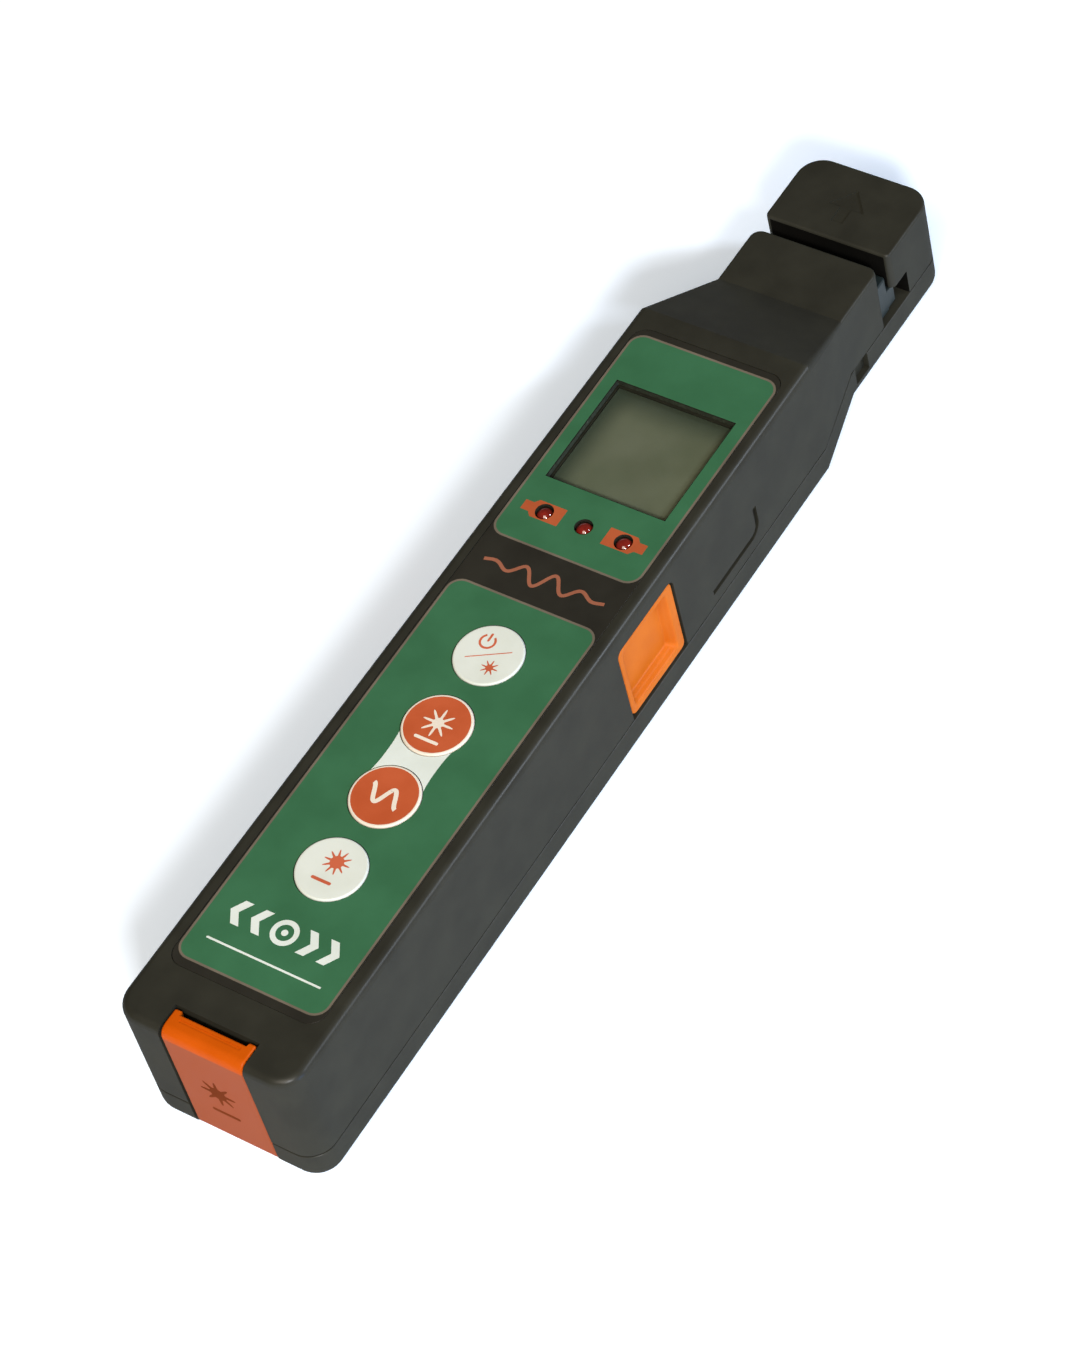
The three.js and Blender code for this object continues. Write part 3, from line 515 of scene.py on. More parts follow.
# Polariser film on a liquid crystal display: olive grey, satin. Its two grades are painted shade, darker
# towards its left edge and towards its edge nearer the head.
polariser = moulded("olive_polariser_painted_edge_shade", "#696c5a", "#626553", (0.31, 0.37), grain=2.0, depth=0.002, cloud=9.0,
                    shine=0.1, grades=[("X", -6.0, -11.5, "#394036"), ("Y", 31.0, 37.5, "#394036")])
display_rim = moulded("display_rim_glass", "#4a4d40", "#434639", (0.15, 0.22), grain=2.0, depth=0.002)
lens_glass = moulded("coated_lens_glass", "#2a2440", "#1c2436", (0.04, 0.08), grain=1.0, depth=0.0005,
                     cloud=1.0, coat=1.0)
print(len(bpy.data.materials), "materials in all")

# %% [markdown]
# ## The two shells
#
# The case is two injection mouldings that meet at a seam low on the side. The upper one carries the
# shoulder, where the case slopes down and draws in to the neck. Its outline at each level is the same
# plan drawn in a little more, and each point is lowered by the slope at its own place, so the rounded
# rim runs unbroken from the flat top down the shoulder and round the neck. The openings are cut
# afterwards with exact booleans.


# %% The plan of the case
def plan(inset, front, front_radius):
    """Half the outline, rear corner, side, shoulder and front corner, joined to its reflection."""
    r, fr = CORNER - inset, front_radius - inset
    half, neck = HALF_REAR - inset, NECK_HALF - inset
    right = np.concatenate([
        arc(half - r, REAR + inset + r, r, -90, 0, 12),
        [[HALF_FRONT - inset, SHOULDER_START], [neck, SHOULDER_END]],
        arc(neck - fr, front - inset - fr, fr, 0, 90, 12),
    ])
    return np.concatenate([right, right[::-1] * [-1, 1]])


def top_height(y):
    """Height of the case above its back: level, then straight down the shoulder, then level."""
    return np.interp(y, [SHOULDER_START, SHOULDER_END], [SHELL_TOP, NECK_TOP])


def split_cap(count, level, half=12):
    """The three flat faces that close a loop of the plan: the top, the shoulder slope and the neck."""
    a, b = half, half + 1  # where the shoulder starts and ends on the right side
    c, d = count - 1 - b, count - 1 - a
    base = level * count
    return [[base + i for i in part] for part in
            ([*range(a + 1), *range(d, count)], [a, b, c, d], [*range(b, c + 1)])]


SEAM_EDGE = 0.08
BODY_ROUND = 1.4
NECK_ROUND = 0.5
NECK_CORNER = 2.0


def upper_skin():
    """Rim rounds: each loop is drawn in by R (1 - cos a) and lowered by R (1 - sin a), where R goes
    from the body's to the neck's along the shoulder."""
    loops = [lift(plan(SEAM_EDGE, NECK_END, NECK_CORNER), SEAM_HIGH),
             lift(plan(0, NECK_END, NECK_CORNER), SEAM_HIGH + SEAM_EDGE)]
    for a in np.radians(np.linspace(0, 90, 9)):
        body = plan(BODY_ROUND * (1 - math.cos(a)), NECK_END, NECK_CORNER)
        neck = plan(NECK_ROUND * (1 - math.cos(a)), NECK_END, NECK_CORNER)
        share = np.interp(body[:, 1], [SHOULDER_START, SHOULDER_END], [0, 1])[:, None]
        outline = body * (1 - share) + neck * share
        radius = BODY_ROUND + (NECK_ROUND - BODY_ROUND) * share[:, 0]
        loops.append(lift(outline, top_height(outline[:, 1]) - radius * (1 - math.sin(a))))
    points, faces = loft(np.array(loops))
    return points, faces[:-1] + split_cap(len(loops[0]), len(loops) - 1)


def upper_room():
    """The hollow: the plan drawn in by the wall, up to a wall's thickness under the top."""
    outline = plan(WALL, 76.4 + WALL, 3.5)
    low = lift(outline, -1.0)
    high = lift(outline, top_height(outline[:, 1]) - WALL)
    points, faces = loft(np.array([low, high]))
    return points, faces[:-1] + split_cap(len(outline), 1)


skin = upper_skin()
print("upper shell skin:", len(skin[0]), "points")

# %% Openings of the upper shell
TALL = 28.0  # above everything, so a tool that reaches it cuts right through the top
window_low, window_high = box("display_window")
film_low, film_high = box("panel_label")
button_low, button_high = box("side_button_right")
SIDE_WINDOW = rounded(-8.2, 2.0, 8.2, 23.4, 1.4)
COVER_HALF = box("fault_cover")[1][0]
WELL_FRONT = -92.9
PORT_Z = 13.5


def disc(radius):
    """The outline of a circle about the origin."""
    return arc(0, 0, radius, 0, 360, 49)[:-1]


def key_holes(low, high, key_gap=GAP, lamp_gap=GAP):
    """Round holes for the four keys and the three lamps."""
    keys = [slab(disc(KEY_RADIUS + key_gap) + [0, y], low, high) for y in KEY_Y.values()]
    return keys + [slab(disc(LAMP_RADIUS + lamp_gap) + [x, LED_Y], low, high) for x in LED_X.values()]


groove_path = np.concatenate([[[17.0, 9.4], [23.0, 9.4]], arc(28.9, 11.6, 2.2, -90, 0, 8), [[31.1, 15.0]]])
groove = slab(stroke(groove_path, 1.0), 15.5, 18.0, axes=ALONG_X)
film_seat = slab(rounded(film_low[0] - 0.1, film_low[1] - 0.1, film_high[0] + 0.1, film_high[1] + 0.1, 2.7),
                 film_low[2] - GAP, SHELL_TOP + 1)
WINDOW_LEDGE = 25.6


def window_block(grow, low):
    """A block with the window's plan, larger by grow on each side, from low up through the top."""
    (x0, y0), (x1, y1) = window_low[:2] - grow, window_high[:2] + grow
    return block(x0, y0, low, x1, y1, TALL)


window_step = window_block(GAP, WINDOW_LEDGE)
window_hole = window_block(-0.2, 20)
cover_room = block(-COVER_HALF - GAP, REAR - 1, -1, COVER_HALF + GAP, WELL_FRONT, SHELL_TOP + 1)
side_hole = slab(SIDE_WINDOW, 9.0, 20.0, axes=ALONG_X)
jaw_room = block(-11.2, 73.1, -1, 11.2, 90, 15.1)
cheek_ends = block(-20, 78.6, -1, 20, 90, 15.1)
well = carve(block(-9.5, -96.9, SEAM_HIGH, 9.5, -91.2, SHELL_TOP - WALL + 0.2),
             block(-COVER_HALF - GAP, REAR - 1, 0, COVER_HALF + GAP, -92.6, 28),
             slab(disc(2.75) + [PORT_Z, 0], -94, -90, axes=ALONG_Y))
upper = carve(skin, upper_room(), jaw_room, cheek_ends)
upper = carve(upper, well, how="UNION")
upper = carve(upper, film_seat, window_step, window_hole, *key_holes(20, TALL), side_hole,
              mirrored(side_hole), groove, mirrored(groove), cover_room)
# The faces at the neck's front end, in the slot, take the near-black painted shade.
piece("upper_moulding", upper, black_abs, "case", "upper_shell", slot="housing", sharp=18, second=painted_slot_shade,
      choose=lambda px, py, pz: ((py > NECK_END - 0.05) & (np.abs(px) < NECK_HALF - 1.9)
                                 & (pz < NECK_TOP - 0.6)))


# %% [markdown]
# The lower shell is a shallow tray. Its bottom rim is rounded more than the top one, its floor has the
# battery doorway and wells for the screw heads, and it runs on under the neck to carry the hook.


# %% Lower shell
BOTTOM_ROUND = 2.6
CASE_SCREWS = [(12, -88), (12, -12.3), (8.6, 60)]
HOOK_SCREWS = [(5.4, 94.1)]
door_low, door_high = box("battery_door")
pin_low, pin_high = box("cover_pin")
PIN_Y, PIN_Z = (pin_low[1] + pin_high[1]) / 2, (pin_low[2] + pin_high[2]) / 2


def lower_skin():
    """The plan drawn in by R (1 - sin a) at height R (1 - cos a), then straight up to the seam."""
    loops = [lift(plan(BOTTOM_ROUND * (1 - math.sin(a)), TIP, CORNER), BOTTOM_ROUND * (1 - math.cos(a)))
             for a in np.radians(np.linspace(0, 90, 9))]
    loops += [lift(plan(0, TIP, CORNER), SEAM_LOW - SEAM_EDGE), lift(plan(SEAM_EDGE, TIP, CORNER), SEAM_LOW)]
    return loft(np.array(loops))


def screw_wells(places, head, shank, depth):
    """A wide well for each screw's head and a narrow hole for its shank, on both sides."""
    return [tool for x, y in places for side in (-1, 1) for tool in (
        slab(disc(head) + [x * side, y], -1, depth), slab(disc(shank) + [x * side, y], depth - 0.5, 8))]


room = slab(plan(WALL, SHOULDER_END + 2 + WALL, 3.0), WALL, 20)
doorway = slab(rounded(-12.3, door_low[1] - GAP, 12.3, door_high[1] - 0.6, 1.0), -1, 3)
pry_notch = block(10.8, 68.6, 2.8, 13, 72.6, 8)
pin_hole = slab(disc(1.1) + [PIN_Y, PIN_Z], -9.2, 9.2, axes=ALONG_X)
bosses = [slab(disc(3.1) + [x * s, y], 1, SEAM_LOW - 0.01) for x, y in CASE_SCREWS for s in (-1, 1)]
cheek = block(7.75, -96.5, 1.2, 9.6, -91.2, SEAM_LOW - 0.02)
bulkhead = block(-9.5, -92.6, 1.1, 9.5, -91.3, SEAM_LOW - 0.03)
bay_walls = [block(-12.6, -68.1, 1, 12.6, -66.8, 13), block(-12.6, -16.2, 1, 12.6, -14.9, 13)]
lower = carve(lower_skin(), room)
lower = carve(lower, *bosses, cheek, mirrored(cheek), bulkhead, *bay_walls, how="UNION")
lower = carve(lower, *screw_wells(CASE_SCREWS, 2.35, 1.25, 3), *screw_wells(HOOK_SCREWS, 1.85, 1.2, 2.6),
              doorway, pry_notch, mirrored(pry_notch), pin_hole, cover_room)
piece("lower_moulding", lower, black_abs, "case", "lower_shell", slot="housing", sharp=18)

# %% [markdown]
# The hook is the fixed half of the clamp. Its mouth is a bowed recess that the jaw's nose fits, with
# two round windows for the photodiodes, and its top has a shallow arrow that points to the tip.


# %% Head hook
def hook_plan(inset):
    """Small corners of 1 mm at the slot and the case's own corners at the tip."""
    rear, front = 1.0 - inset * 0.95, CORNER - inset
    half = NECK_HALF - inset
    right = np.concatenate([arc(half - rear, HOOK_START + inset + rear, rear, -90, 0, 6),
                            arc(half - front, TIP - inset - front, front, 0, 90, 12)])
    return np.concatenate([right, right[::-1] * [-1, 1]])


def bowed(half, edge, bulge, count=25):
    """A curve across the head: y = edge + bulge (1 - (x / half) ^ 2)."""
    x = np.linspace(half, -half, count)
    return np.stack([x, edge + bulge * (1 - (x / half) ** 2)], axis=1)


hook_loops = [lift(hook_plan(SEAM_EDGE), SEAM_HIGH), lift(hook_plan(0), SEAM_HIGH + SEAM_EDGE)]
hook_loops += [lift(hook_plan(NECK_ROUND * (1 - math.cos(a))), NECK_TOP - NECK_ROUND * (1 - math.sin(a)))
               for a in np.radians(np.linspace(0, 90, 7))]
recess = slab(np.concatenate([[[-13, 80], [13, 80], [13, 87]], bowed(9, 87, 0.8), [[-13, 87]]]), 6, 11.8)
arrow = slab([[-1.1, 86.2], [1.1, 86.2], [1.1, 89.4], [3.4, 89.4], [0, 93.6], [-3.4, 89.4], [-1.1, 89.4]],
             NECK_TOP - 0.25, NECK_TOP + 1)
detector_windows = [slab(disc(1.9) + [9.6, x], 86, 90, axes=ALONG_Y) for x in (-4.5, 4.5)]
detector_room = block(-8.4, 89.2, 0, 8.4, 92.1, 15.4)
hook_holes = [slab(disc(1.2) + [5.4 * s, 94.1], 0, 12) for s in (-1, 1)]
hook = carve(loft(np.array(hook_loops)), recess, arrow, detector_room, *detector_windows, *hook_holes)
# The hook's back, its mouth and the room behind it take the same near-black painted shade.
piece("hook_moulding", hook, black_abs, "case", "head_hook", slot="housing", sharp=22, second=painted_slot_shade,
      choose=lambda px, py, pz: ((np.abs(px) < NECK_HALF - 0.9) & (py < 92.2)
                                 & (pz < NECK_TOP - 0.6) & (pz > SEAM_HIGH)))

# %% [markdown]
# ## The printed film
#
# One sheet of polyester film covers the top. Each ink is its own thin layer on it: the two green
# fields, a fine line round each, a white bridge that joins the two red keys, arrows beside the lamps
# and a few plain pictograms. The name that a maker prints between the fields is left out, and a plain
# light pulse stands in its place.

# %% Film and green fields
INK = 0.012
FILM_GAPS = (0.14, 0.05)  # round the keys, and round the lamps
film_plan = rounded(film_low[0], film_low[1], film_high[0], film_high[1], 2.6)
film = carve(slab(film_plan, film_low[2], film_high[2], 0.06), *key_holes(20, TALL, *FILM_GAPS),
             window_block(0.1, 20))
piece("film_sheet", film, film_black, "case", "panel_label", slot="label")

FIELDS = {"lower": (-13.3, -85.2, 13.3, -7.9), "upper": (-13.4, 2.6, 13.4, 46.7)}
LINE = 0.38


def ink(name, outline, finish, layer=0, tools=()):
    """One printed layer: a very thin slab on the film, lifted by its place in the stack of inks."""
    low = FILM_TOP - 0.03
    high = FILM_TOP + INK * (layer + 1)
    return piece(name, carve(slab(outline, low, high), *tools) if tools else slab(outline, low, high),
                 finish, "case", slot="label")


for field, (x0, y0, x1, y1) in FIELDS.items():
    outside = rounded(x0 - LINE, y0 - LINE, x1 + LINE, y1 + LINE, 2.2 + LINE)
    inside = rounded(x0, y0, x1, y1, 2.2)
    rim = np.array([lift(outside, FILM_TOP - 0.03), lift(outside, FILM_TOP + INK),
                    lift(inside, FILM_TOP + INK), lift(inside, FILM_TOP - 0.03)])
    piece(f"{field}_field_line", loft(rim, caps=False, ring=True), film_line, "case", slot="label")
film_holes = key_holes(26, TALL, *FILM_GAPS)
key_cuts, lamp_cuts = film_holes[:len(KEY_Y)], film_holes[len(KEY_Y):]
ink("lower_green_field", rounded(*FIELDS["lower"], 2.2), film_green, tools=key_cuts)
ink("upper_green_field", rounded(*FIELDS["upper"], 2.2), film_green,
    tools=[*lamp_cuts, window_block(0.12, 26)])

# %% Bridge, arrows and pictograms on the film
bridge_y = np.linspace(KEY_Y["wavelength"], KEY_Y["light"], 21)
waist = 4.55 + 1.3 * np.abs(np.linspace(-1, 1, 21)) ** 2.5
bridge = np.concatenate([np.stack([waist, bridge_y], axis=1), np.stack([-waist, bridge_y], axis=1)[::-1]])
ink("key_bridge", bridge, film_white, 1, tools=key_cuts[1:3])

lamp_arrow = np.array([[4.1, -1.75], [9.2, -1.75], [9.9, -0.95], [11.4, -0.95], [11.4, 0.95], [9.9, 0.95],
                       [9.2, 1.75], [4.1, 1.75]])
ink("lamp_arrow_right", lamp_arrow + [0, LED_Y], film_orange, 1, tools=lamp_cuts[2:])
ink("lamp_arrow_left", lamp_arrow * [-1, 1] + [0, LED_Y], film_orange, 1, tools=lamp_cuts[:1])

pulse_x = np.linspace(-11.2, 11.2, 141)
pulse = np.stack([pulse_x, -2.7 + 1.7 * np.sin(pulse_x * 1.15) * np.exp(-(pulse_x / 7.5) ** 2)], axis=1)
ink("light_pulse", stroke(pulse, 0.62), film_brown)
print("pulse spans", round(float(np.ptp(pulse[:, 1])), 2), "mm")

PICTO_Y = -75.2
chevron = np.array([[-1.3, -2.2], [0.2, -2.2], [1.6, 0], [0.2, 2.2], [-1.3, 2.2], [0.1, 0]])
for i, x in enumerate((-8.4, -4.6, 4.6, 8.4)):
    ink(f"direction_chevron_{i + 1}", chevron * [1 if x > 0 else -1, 1] + [x, PICTO_Y], film_white, 1)
outer_ring, inner_ring = disc(2.3) + [0, PICTO_Y], disc(1.45) + [0, PICTO_Y]
ring = np.array([lift(outer_ring, FILM_TOP), lift(outer_ring, FILM_TOP + 2 * INK),
                 lift(inner_ring, FILM_TOP + 2 * INK), lift(inner_ring, FILM_TOP)])
piece("fibre_end_ring", loft(ring, caps=False, ring=True), film_white, "case", slot="label")
ink("fibre_end_core", disc(0.55) + [0, PICTO_Y], film_white, 1)
ink("thin_rule", rounded(-10.5, -81.1, 10.5, -80.75, 0.15, 3), film_white, 1)

# %% [markdown]
# ## Keys and lamps
#
# The keys are silicone rubber buttons with flat faces, turned about their own axes, so a profile and
# a circle give the whole shape. The two red ones have a cream ring printed at the edge. Each symbol is
# a thin layer of ink that moves with its key.


# %% Keys
FACE = KEY_TOP - 0.02
RING_INSIDE = 5.32


def key_cap(y):
    """Stem, hidden rim and face, with the face's edge rounded by a quarter circle of 0.3 mm."""
    edge = arc(KEY_RADIUS - 0.3, FACE - 0.3, 0.3, 0, 90, 6)
    profile = [[0, 23.3], [1.8, 23.3], [1.8, 24], [6.7, 24], [6.7, 24.9], [KEY_RADIUS, 24.9], *edge.tolist(),
               [RING_INSIDE, FACE], [0, FACE]]
    return lathe(profile, 0, y, sides=80)


def symbol(name, outline, finish, key):
    """Ink on a key's face, riding on the key's own body."""
    return piece(name, slab(np.asarray(outline, float) + [0, KEY_Y[key]], FACE - 0.05, KEY_TOP), finish,
                 f"key_{key}_body", slot=KEY_SLOT[key])


KEY_SLOT = {"fault_locator": "key_white", "wavelength": "key_red", "light": "key_red", "power": "key_white"}
for key, y in KEY_Y.items():
    red = KEY_SLOT[key] == "key_red"
    piece(f"{key}_cap", key_cap(y), red_silicone if red else white_silicone, f"key_{key}_body", f"key_{key}",
          slot=KEY_SLOT[key], second=cream_ink if red else None,
          choose=lambda px, py, pz, at=y: (np.hypot(px, py - at) > RING_INSIDE) & (pz > 25))


# %% Symbols on the keys
def burst(x, y, core, reach, rays):
    """A spark: radius = core + reach |cos(rays a / 2)| ^ 7 at the angle a."""
    a = np.linspace(0, 2 * np.pi, 24 * rays, endpoint=False)
    r = core + reach * np.abs(np.cos(rays * a / 2)) ** 7
    return np.stack([x + r * np.cos(a), y + r * np.sin(a)], axis=1)


symbol("spark_on_fault_key", burst(0.2, 1.3, 1.15, 1.15, 10), red_ink, "fault_locator")
symbol("bar_on_fault_key", rounded(-2.0, -2.75, 1.6, -2.2, 0.25, 4), red_ink, "fault_locator")
wave_x = np.linspace(-2.9, 2.9, 41)
wave = np.stack([wave_x, 1.55 * np.sin(wave_x * 1.62)], axis=1)
symbol("wave_on_wavelength_key", stroke(wave, 0.72), cream_ink, "wavelength")
symbol("spark_on_light_key", burst(0, 0.3, 0.95, 1.75, 8), cream_ink, "light")
symbol("bar_on_light_key", rounded(-2.2, -3.4, 2.2, -2.85, 0.25, 4), cream_ink, "light")
symbol("ring_on_power_key", stroke(arc(-1.5, 2.1, 1.25, 125, 415, 40), 0.38), red_ink, "power")
symbol("stroke_on_power_key", rounded(-1.69, 2.1, -1.31, 3.75, 0.15, 4), red_ink, "power")
symbol("divider_on_power_key", stroke([[-3.2, -1.9], [3.2, 1.9]], 0.16), red_ink, "power")
symbol("spark_on_power_key", burst(1.5, -2.1, 0.62, 0.85, 8), red_ink, "power")

# %% Indicator lamps
for side, x in LED_X.items():
    dome = arc(0, 25.6, 1.5, 0, 90, 12).tolist()
    piece(f"lamp_{side}", lathe([[0, 21.1], [1.9, 21.1], [1.9, 22], [1.5, 22], *dome], x, LED_Y, sides=48),
          lamp_epoxy, "case", f"led_{side}", slot="led_red", sharp=60)

# %% [markdown]
# ## Display
#
# The display is a glass cell under a clear acrylic window. Its polariser covers the whole top face, and
# painted shade darkens it towards two of its edges, standing for the shade that the case around the window
# casts.

# %% Display and window
module_low, module_high = box("display_module")
MODULE = rounded(module_low[0], module_low[1], module_high[0], module_high[1], 0.4, 4)
GLASS = rounded(window_low[0] + 0.3, window_low[1] + 0.3, window_high[0] - 0.3, window_high[1] - 0.3, 0.2, 4)
glass = together(slab(MODULE, module_low[2], module_high[2] - 0.7, 0.1),
                 slab(GLASS, module_high[2] - 1.2, module_high[2], 0.05))
# The top face takes the polariser, with its painted edge shade.
piece("display_cell", glass, display_rim, "case", "display_module", slot="glass", second=polariser,
      choose=lambda px, py, pz: pz > module_high[2] - 0.02)
pane = slab(rounded(window_low[0], window_low[1], window_high[0], window_high[1], 0.3, 4),
            window_low[2], window_high[2], 0.08)
piece("window_pane", pane, acrylic, "case", "display_window", slot="clear", second=acrylic_edge,
      choose=lambda px, py, pz: (pz > window_low[2] + 0.1) & (pz < window_high[2] - 0.1))

# %% [markdown]
# ## Orange pieces
#
# Two dished buttons sit in the sides. A fingertip rests in the dish, whose walls slope in to a flat
# floor. One stack of rounded rectangles makes it: up the outside, over the rim and down into the dish.


# %% Side buttons
def side_button():
    """Loops in y and z: out to the face, over a 0.35 mm rim, then from the mouth to the floor of the
    dish as mouth + (floor - mouth) s. The sink is 1.8 mm times s, and s s (3 - 2 s) near both ends."""
    half, low, high = 7.9, button_low[2], 23.1
    face, back, edge = 16.1, 12.6, 0.35
    outer = rounded(-half, low, half, high, 1.2, 8)
    mouth = rounded(-6.9, 8.3, 6.3, 22.1, 1.0, 8)
    base = rounded(-5.6, 9.6, 5.0, 20.8, 0.6, 8)
    rows = [lift(outer, back)]
    rows += [lift(shrink(outer, edge * (1 - math.cos(a))), face - edge * (1 - math.sin(a)))
             for a in np.radians(np.linspace(0, 90, 6))]
    for s in np.linspace(0, 1, 9):
        ease = s * s * (3 - 2 * s) if s < 0.3 or s > 0.7 else s
        rows.append(lift(mouth + (base - mouth) * s, face - 1.8 * ease))
    plate = loft(np.array(rows), axes=ALONG_X)
    flange = block(12.9, -9, low, 14.1, 9, 23.9, 0.15)
    slope = 2.6
    wedge_plan = [[12.7, -6.5], [12.7, 4.5], [5.6, 4.5], [5.6, slope - 5.6], [slope + 6.5, -6.5]]
    wedge = slab(wedge_plan, 9.0, 16.0, 0.2)
    return together(plate, flange, wedge)


piece("right_finger_button", side_button(), orange_abs, "button_right", "side_button_right", slot="orange")
piece("left_finger_button", mirrored(side_button()), orange_abs, "button_left", "side_button_left",
      slot="orange")


# %% [markdown]
# The dust cover closes the laser port. Its side view is a long strip, curled round the hinge pin at
# the bottom and bent over into a lip at the top. Carried across, the lip changes: it stands back in
# the middle, where a fingernail goes, and reaches forward in a small ear at each end.


# %% Dust cover
def cover_outline(reach):
    """The side view in (y, z), anticlockwise, with the lip's front at y = reach."""
    inner = -96.2
    return np.concatenate([
        arc(PIN_Y, PIN_Z, 2.3, 180, 435, 28), [[inner, 5.8], [inner, 25.2], [reach, 25.2], [reach, 26.55]],
        arc(reach - 0.35, 26.62, 0.35, 0, 90, 5), arc(-96.1, 25.2, 1.8, 90, 180, 9)])


def dust_cover():
    """One loop at each x. The ends are rounded by drawing the loop in by e (1 - sin a)."""
    edge = 0.35
    a = np.radians(np.linspace(0, 90, 5))
    side, drawn_in = edge * (1 - np.cos(a)), edge * (1 - np.sin(a))
    x = np.concatenate([-COVER_HALF + side, [-6.3, -6.1, 6.1, 6.3], COVER_HALF - side[::-1]])
    inset = np.concatenate([drawn_in, [0, 0, 0, 0], drawn_in[::-1]])
    reach = np.where(np.abs(x) > 6.2, -93.4, -94.05)
    rows = [lift(shrink(cover_outline(r), i), at) for at, i, r in zip(x, inset, reach)]
    return loft(np.array(rows), axes=ALONG_X)


cover = carve(dust_cover(), slab(disc(1.1) + [PIN_Y, PIN_Z], -10, 10, axes=ALONG_X),
              slab(stroke([[-5.6, 0], [5.6, 0]], 0.5) + [0, -95.0], 26.85, 28))
piece("dust_cover", cover, cover_abs_painted_shade, "cover", "fault_cover", slot="orange", sharp=40)
COVER_INK_DEPTH = (-97.93, -97.6)
spark = slab(np.fliplr(burst(0, 14.6, 1.5, 1.7, 8)), *COVER_INK_DEPTH, axes=ALONG_Y)
piece("cover_spark", spark, cover_ink, "cover", slot="orange")
dash = slab(rounded(8.6, -2.6, 9.3, 2.6, 0.3, 4), *COVER_INK_DEPTH, axes=ALONG_Y)
piece("cover_dash", dash, cover_ink, "cover", slot="orange")

# %% [markdown]
# ## Clamp, port, battery door and power
#
# What the hook holds the fibre against is the jaw, a nylon block with a bowed nose. Behind the dust
# cover is a turned ferrule port. The battery door closes the back, over two AAA cells, and the
# screws that hold the case go in from the back as well.

# %% Jaw
jaw_low, jaw_high = box("clamp_jaw")
JAW_HALF = jaw_high[0]
jaw_block = slab(rounded(-JAW_HALF, 76.4, JAW_HALF, 82.4, 0.7), jaw_low[2], jaw_high[2], 0.35)
jaw_tail = block(-9.75, jaw_low[1], jaw_low[2] + 0.05, 9.75, 77.4, jaw_high[2] - 0.05, 0.3)
nose_plan = np.concatenate([[[-JAW_HALF, 80.4], [JAW_HALF, 80.4]], bowed(JAW_HALF, 84, 2.4)])
jaw_nose = slab(nose_plan, 7.4, 11.4, 0.25)
jaw = carve(jaw_block, jaw_tail, jaw_nose, how="UNION")
jaw = carve(jaw, slab(disc(1.8) + [11.5, 0], 71, 76, axes=ALONG_Y))
piece("jaw_block", jaw, slate_nylon, "jaw", "clamp_jaw", slot="jaw")

# %% [markdown]
# The spring behind the jaw has two closed turns and five open ones.

# %% Return spring
spring_low, spring_high = box("return_spring")
WIRE = 0.35
ROD_Z = (spring_low[2] + spring_high[2]) / 2
TURNS = 7


def coil():
    """Wire loops along c = (R cos a, y, R sin a), each r (radial cos b + axial sin b) about c. The height
    y climbs by one wire's width in the first and last turns, and evenly in between."""
    a = np.linspace(0, 2 * np.pi * TURNS, 32 * TURNS + 1)[:, None]
    b = np.linspace(0, 2 * np.pi, 12, endpoint=False)
    start, end, closed = spring_low[1] + WIRE, spring_high[1] - WIRE, 2.1 * WIRE
    y = np.interp(a / (2 * np.pi), [0, 1, TURNS - 1, TURNS], [start, start + closed, end - closed, end])
    reach = spring_high[0] - WIRE + WIRE * np.cos(b)
    return loft(np.stack([reach * np.cos(a), y + WIRE * np.sin(b), ROD_Z + reach * np.sin(a)], axis=-1))


spring = piece("wound_spring", coil(), zinc_steel, "case", "return_spring", slot="steel", sharp=60)
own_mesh(spring)

# %% Port and photodiodes
PORT_PROFILE = [[0, 0], [4.0, 0], [4.2, 0.2], [4.2, 4.9], [4.0, 5.1], [2.4, 5.1], [2.4, 9.3], [2.1, 9.6],
                [1.5, 9.6], [1.28, 9.4], [1.28, 4.5], [0, 4.5]]
port = lathe(PORT_PROFILE, sides=48, axes=ALONG_Y)
port = (port[0] * [1, -1, 1] + [0, -85.8, PORT_Z], [face[::-1] for face in port[1]])
piece("ferrule_port", port, turned_steel, "case", "fault_port", slot="steel", second=zirconia,
      choose=lambda px, py, pz: np.hypot(px, pz - PORT_Z) < 1.6)
for side, x in (("left", -4.5), ("right", 4.5)):
    can = lathe([[0, 88.42], [1.0, 88.2], [1.35, 88.2], [1.5, 88.35], [1.5, 90.6], [0, 90.6]], 9.6, x,
                axes=ALONG_Y, sides=40)
    piece(f"detector_{side}", can, turned_steel, "case", f"photodiode_{side}", slot="black",
          second=lens_glass, choose=lambda px, py, pz, at=x: (np.hypot(px - at, pz - 9.6) < 1.0) & (py < 89))


# %% Battery door
def battery_door():
    """A plate with four finger grooves, an arrow, two hinge tabs and a catch."""
    front, rear = -17.3, -66.0
    plate = slab(rounded(-12, rear, 12, front, 0.8), 0, 1.5, 0.25)
    tools = [slab(rounded(-5, rear + 4 + 2 * i, 5, rear + 4.8 + 2 * i, 0.35, 5), -1, 0.35) for i in range(4)]
    tools.append(slab([[-1.6, rear + 13], [1.6, rear + 13], [0, rear + 15.8]], -1, 0.3))
    plate = carve(plate, *tools)
    fittings = []
    for start, end, low, high in ((-2.5, -0.6, 1, 3), (-2.4, 0.9, 2.2, 2.95)):
        fittings += [slab(rounded(x - 0.75, front + start, x + 0.75, front + end, 0.2, 4), low, high)
                     for x in (-11.15, 11.15)]
    fittings.append(slab(rounded(-3, rear + 0.02, 3, rear + 0.8, 0.2, 4), 1, 4))
    return carve(plate, *fittings, how="UNION")


piece("battery_lid", battery_door(), black_abs, "door", "battery_door", slot="housing")


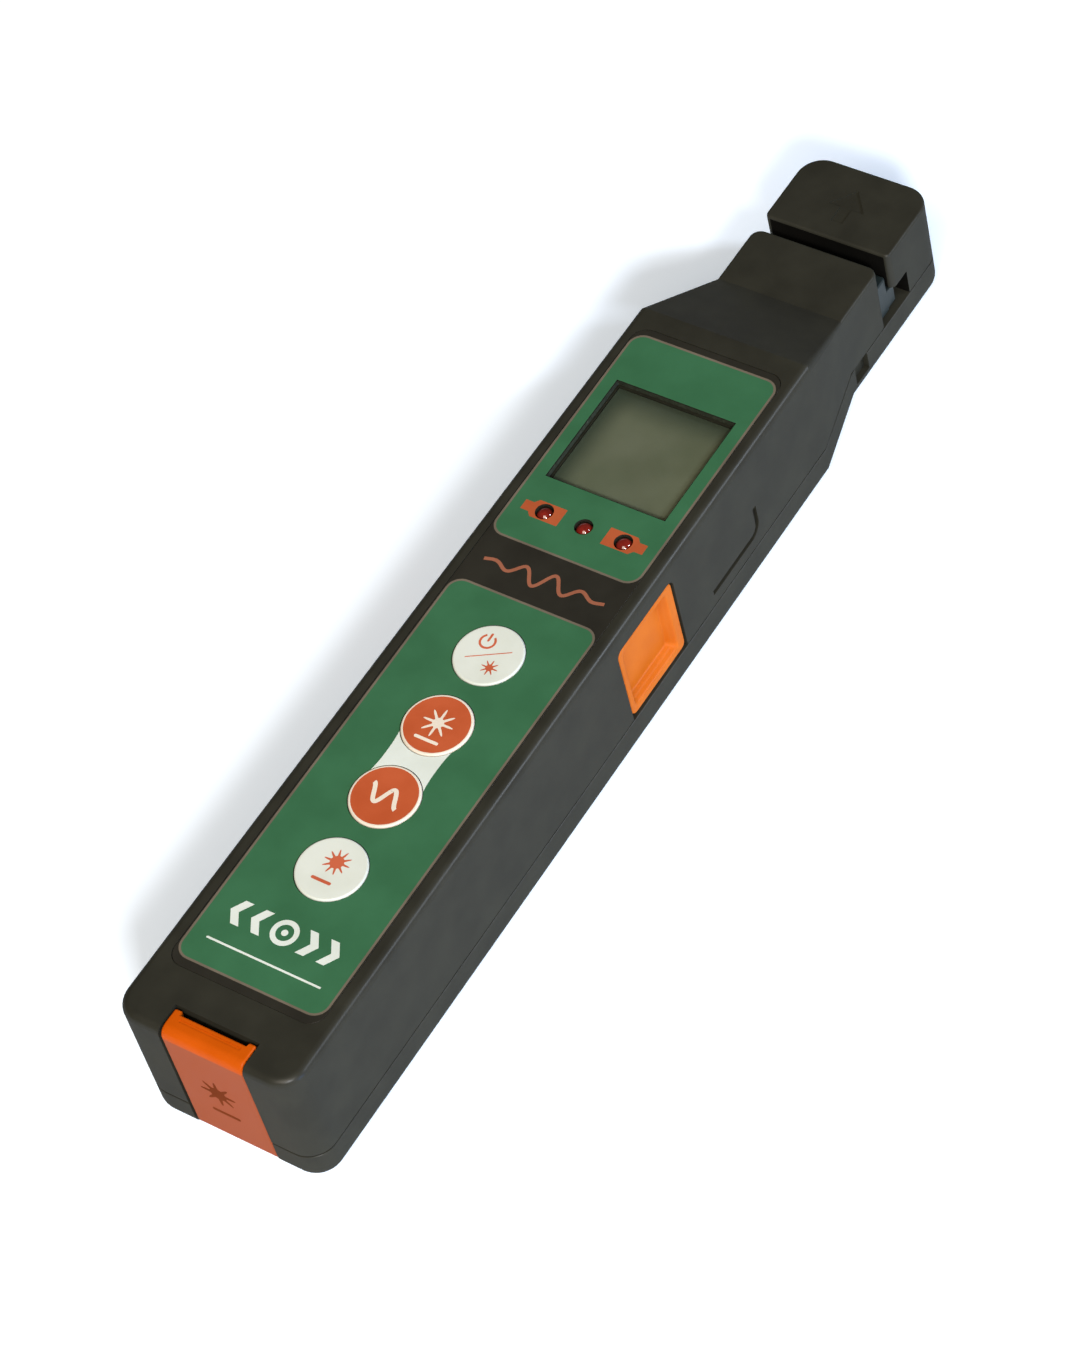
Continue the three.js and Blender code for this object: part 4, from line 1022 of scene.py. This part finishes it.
# %% Screws
def pan_screw(x, y, low, head, shank, length):
    """A head with a rounded rim and a cross recess, and a shank, pointing up."""
    rim = arc(head - 0.35, 0.35, 0.35, -90, 0, 6)
    profile = [[0, 0], [head * 0.5, 0], *rim.tolist(), [head, 1.6], [shank, 1.6], [shank, length - 0.6],
               [0.25, length], [0, length]]
    made = lathe(profile, sides=40)
    reach, half = head * 0.6, 0.26
    arms = [rounded(-reach, -half, reach, half, 0.12, 4), rounded(-half, -reach, half, reach, 0.12, 4)]
    body = carve(made, *[slab(arm, -1, 0.75) for arm in arms])
    body.transform(Matrix.Translation((x * MM, y * MM, low * MM)))
    return body


for row, (x, y) in zip(("rear", "middle", "front"), CASE_SCREWS):
    for side, s in (("left", -1), ("right", 1)):
        piece(f"{row}_screw_{side}", pan_screw(x * s, y, 1.1, 2.05, 0.95, 11), zinc_steel, "case",
              f"case_screw_{row}_{side}", slot="steel")
for side, s in (("left", -1), ("right", 1)):
    piece(f"tip_screw_{side}", pan_screw(5.4 * s, 94.1, 0.7, 1.55, 0.9, 10), zinc_steel, "case",
          f"hook_screw_{side}", slot="steel")


# %% Cells
def aaa_cell(node, towards):
    """A can with crimped ends and a small positive cap, turned about its own axis along y."""
    low, high = box(node)
    r, length = 5.2, 44.5
    profile = [[0, 0], [r - 0.5, 0], [r - 0.15, 0.12], [r, 0.5], [r, length - 1.8], [r - 0.15, length - 1.35],
               [r - 0.6, length - 1.0], [2.2, length - 1.0], [1.9, length - 0.9], [1.9, length - 0.1],
               [1.8, length], [0, length]]
    points, faces = lathe(profile, sides=56, axes=ALONG_Y)
    middle = (low + high) / 2
    if towards < 0:
        points, faces = points * [1, -1, 1], [face[::-1] for face in faces]
    start = low[1] if towards > 0 else high[1]
    return points + [middle[0], start, middle[2]], faces


for side, towards in (("left", 1), ("right", -1)):
    low, high = box(f"cell_{side}")
    piece(f"aaa_{side}", aaa_cell(f"cell_{side}", towards), cell_wrap, "case", f"cell_{side}", slot="cell",
          second=nickel_plate, choose=lambda px, py, pz, a=low, b=high: (py < a[1] + 1.2) | (py > b[1] - 1.2))

# %% [markdown]
# ## Pieces kept from the model
#
# The boards, springs and contacts are already right as solids, so they stay and only take a finish.

# %% Finishes for the kept solids
KEPT = {
    "main_board": solder_mask, "detector_board": solder_mask, "processor_chip": black_epoxy,
    "buzzer": black_epoxy, "slide_carriage": slate_nylon, "detector_flex": polyimide,
    "laser_barrel": rolled_brass, "cover_pin": turned_steel, "pull_rod": turned_steel,
    "spring_collar": turned_steel, "contact_strip_front": nickel_plate,
    "contact_plate_left": nickel_plate, "contact_plate_right": nickel_plate,
    "contact_spring_left": zinc_steel, "contact_spring_right": zinc_steel,
    **{f"switch_{key}": black_epoxy for key in KEY_Y},
}
for node, finish in KEPT.items():
    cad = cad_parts[node]
    for i in range(len(cad.material_slots)):
        cad.material_slots[i].material = finish
print(len(KEPT), "solids kept from the model")
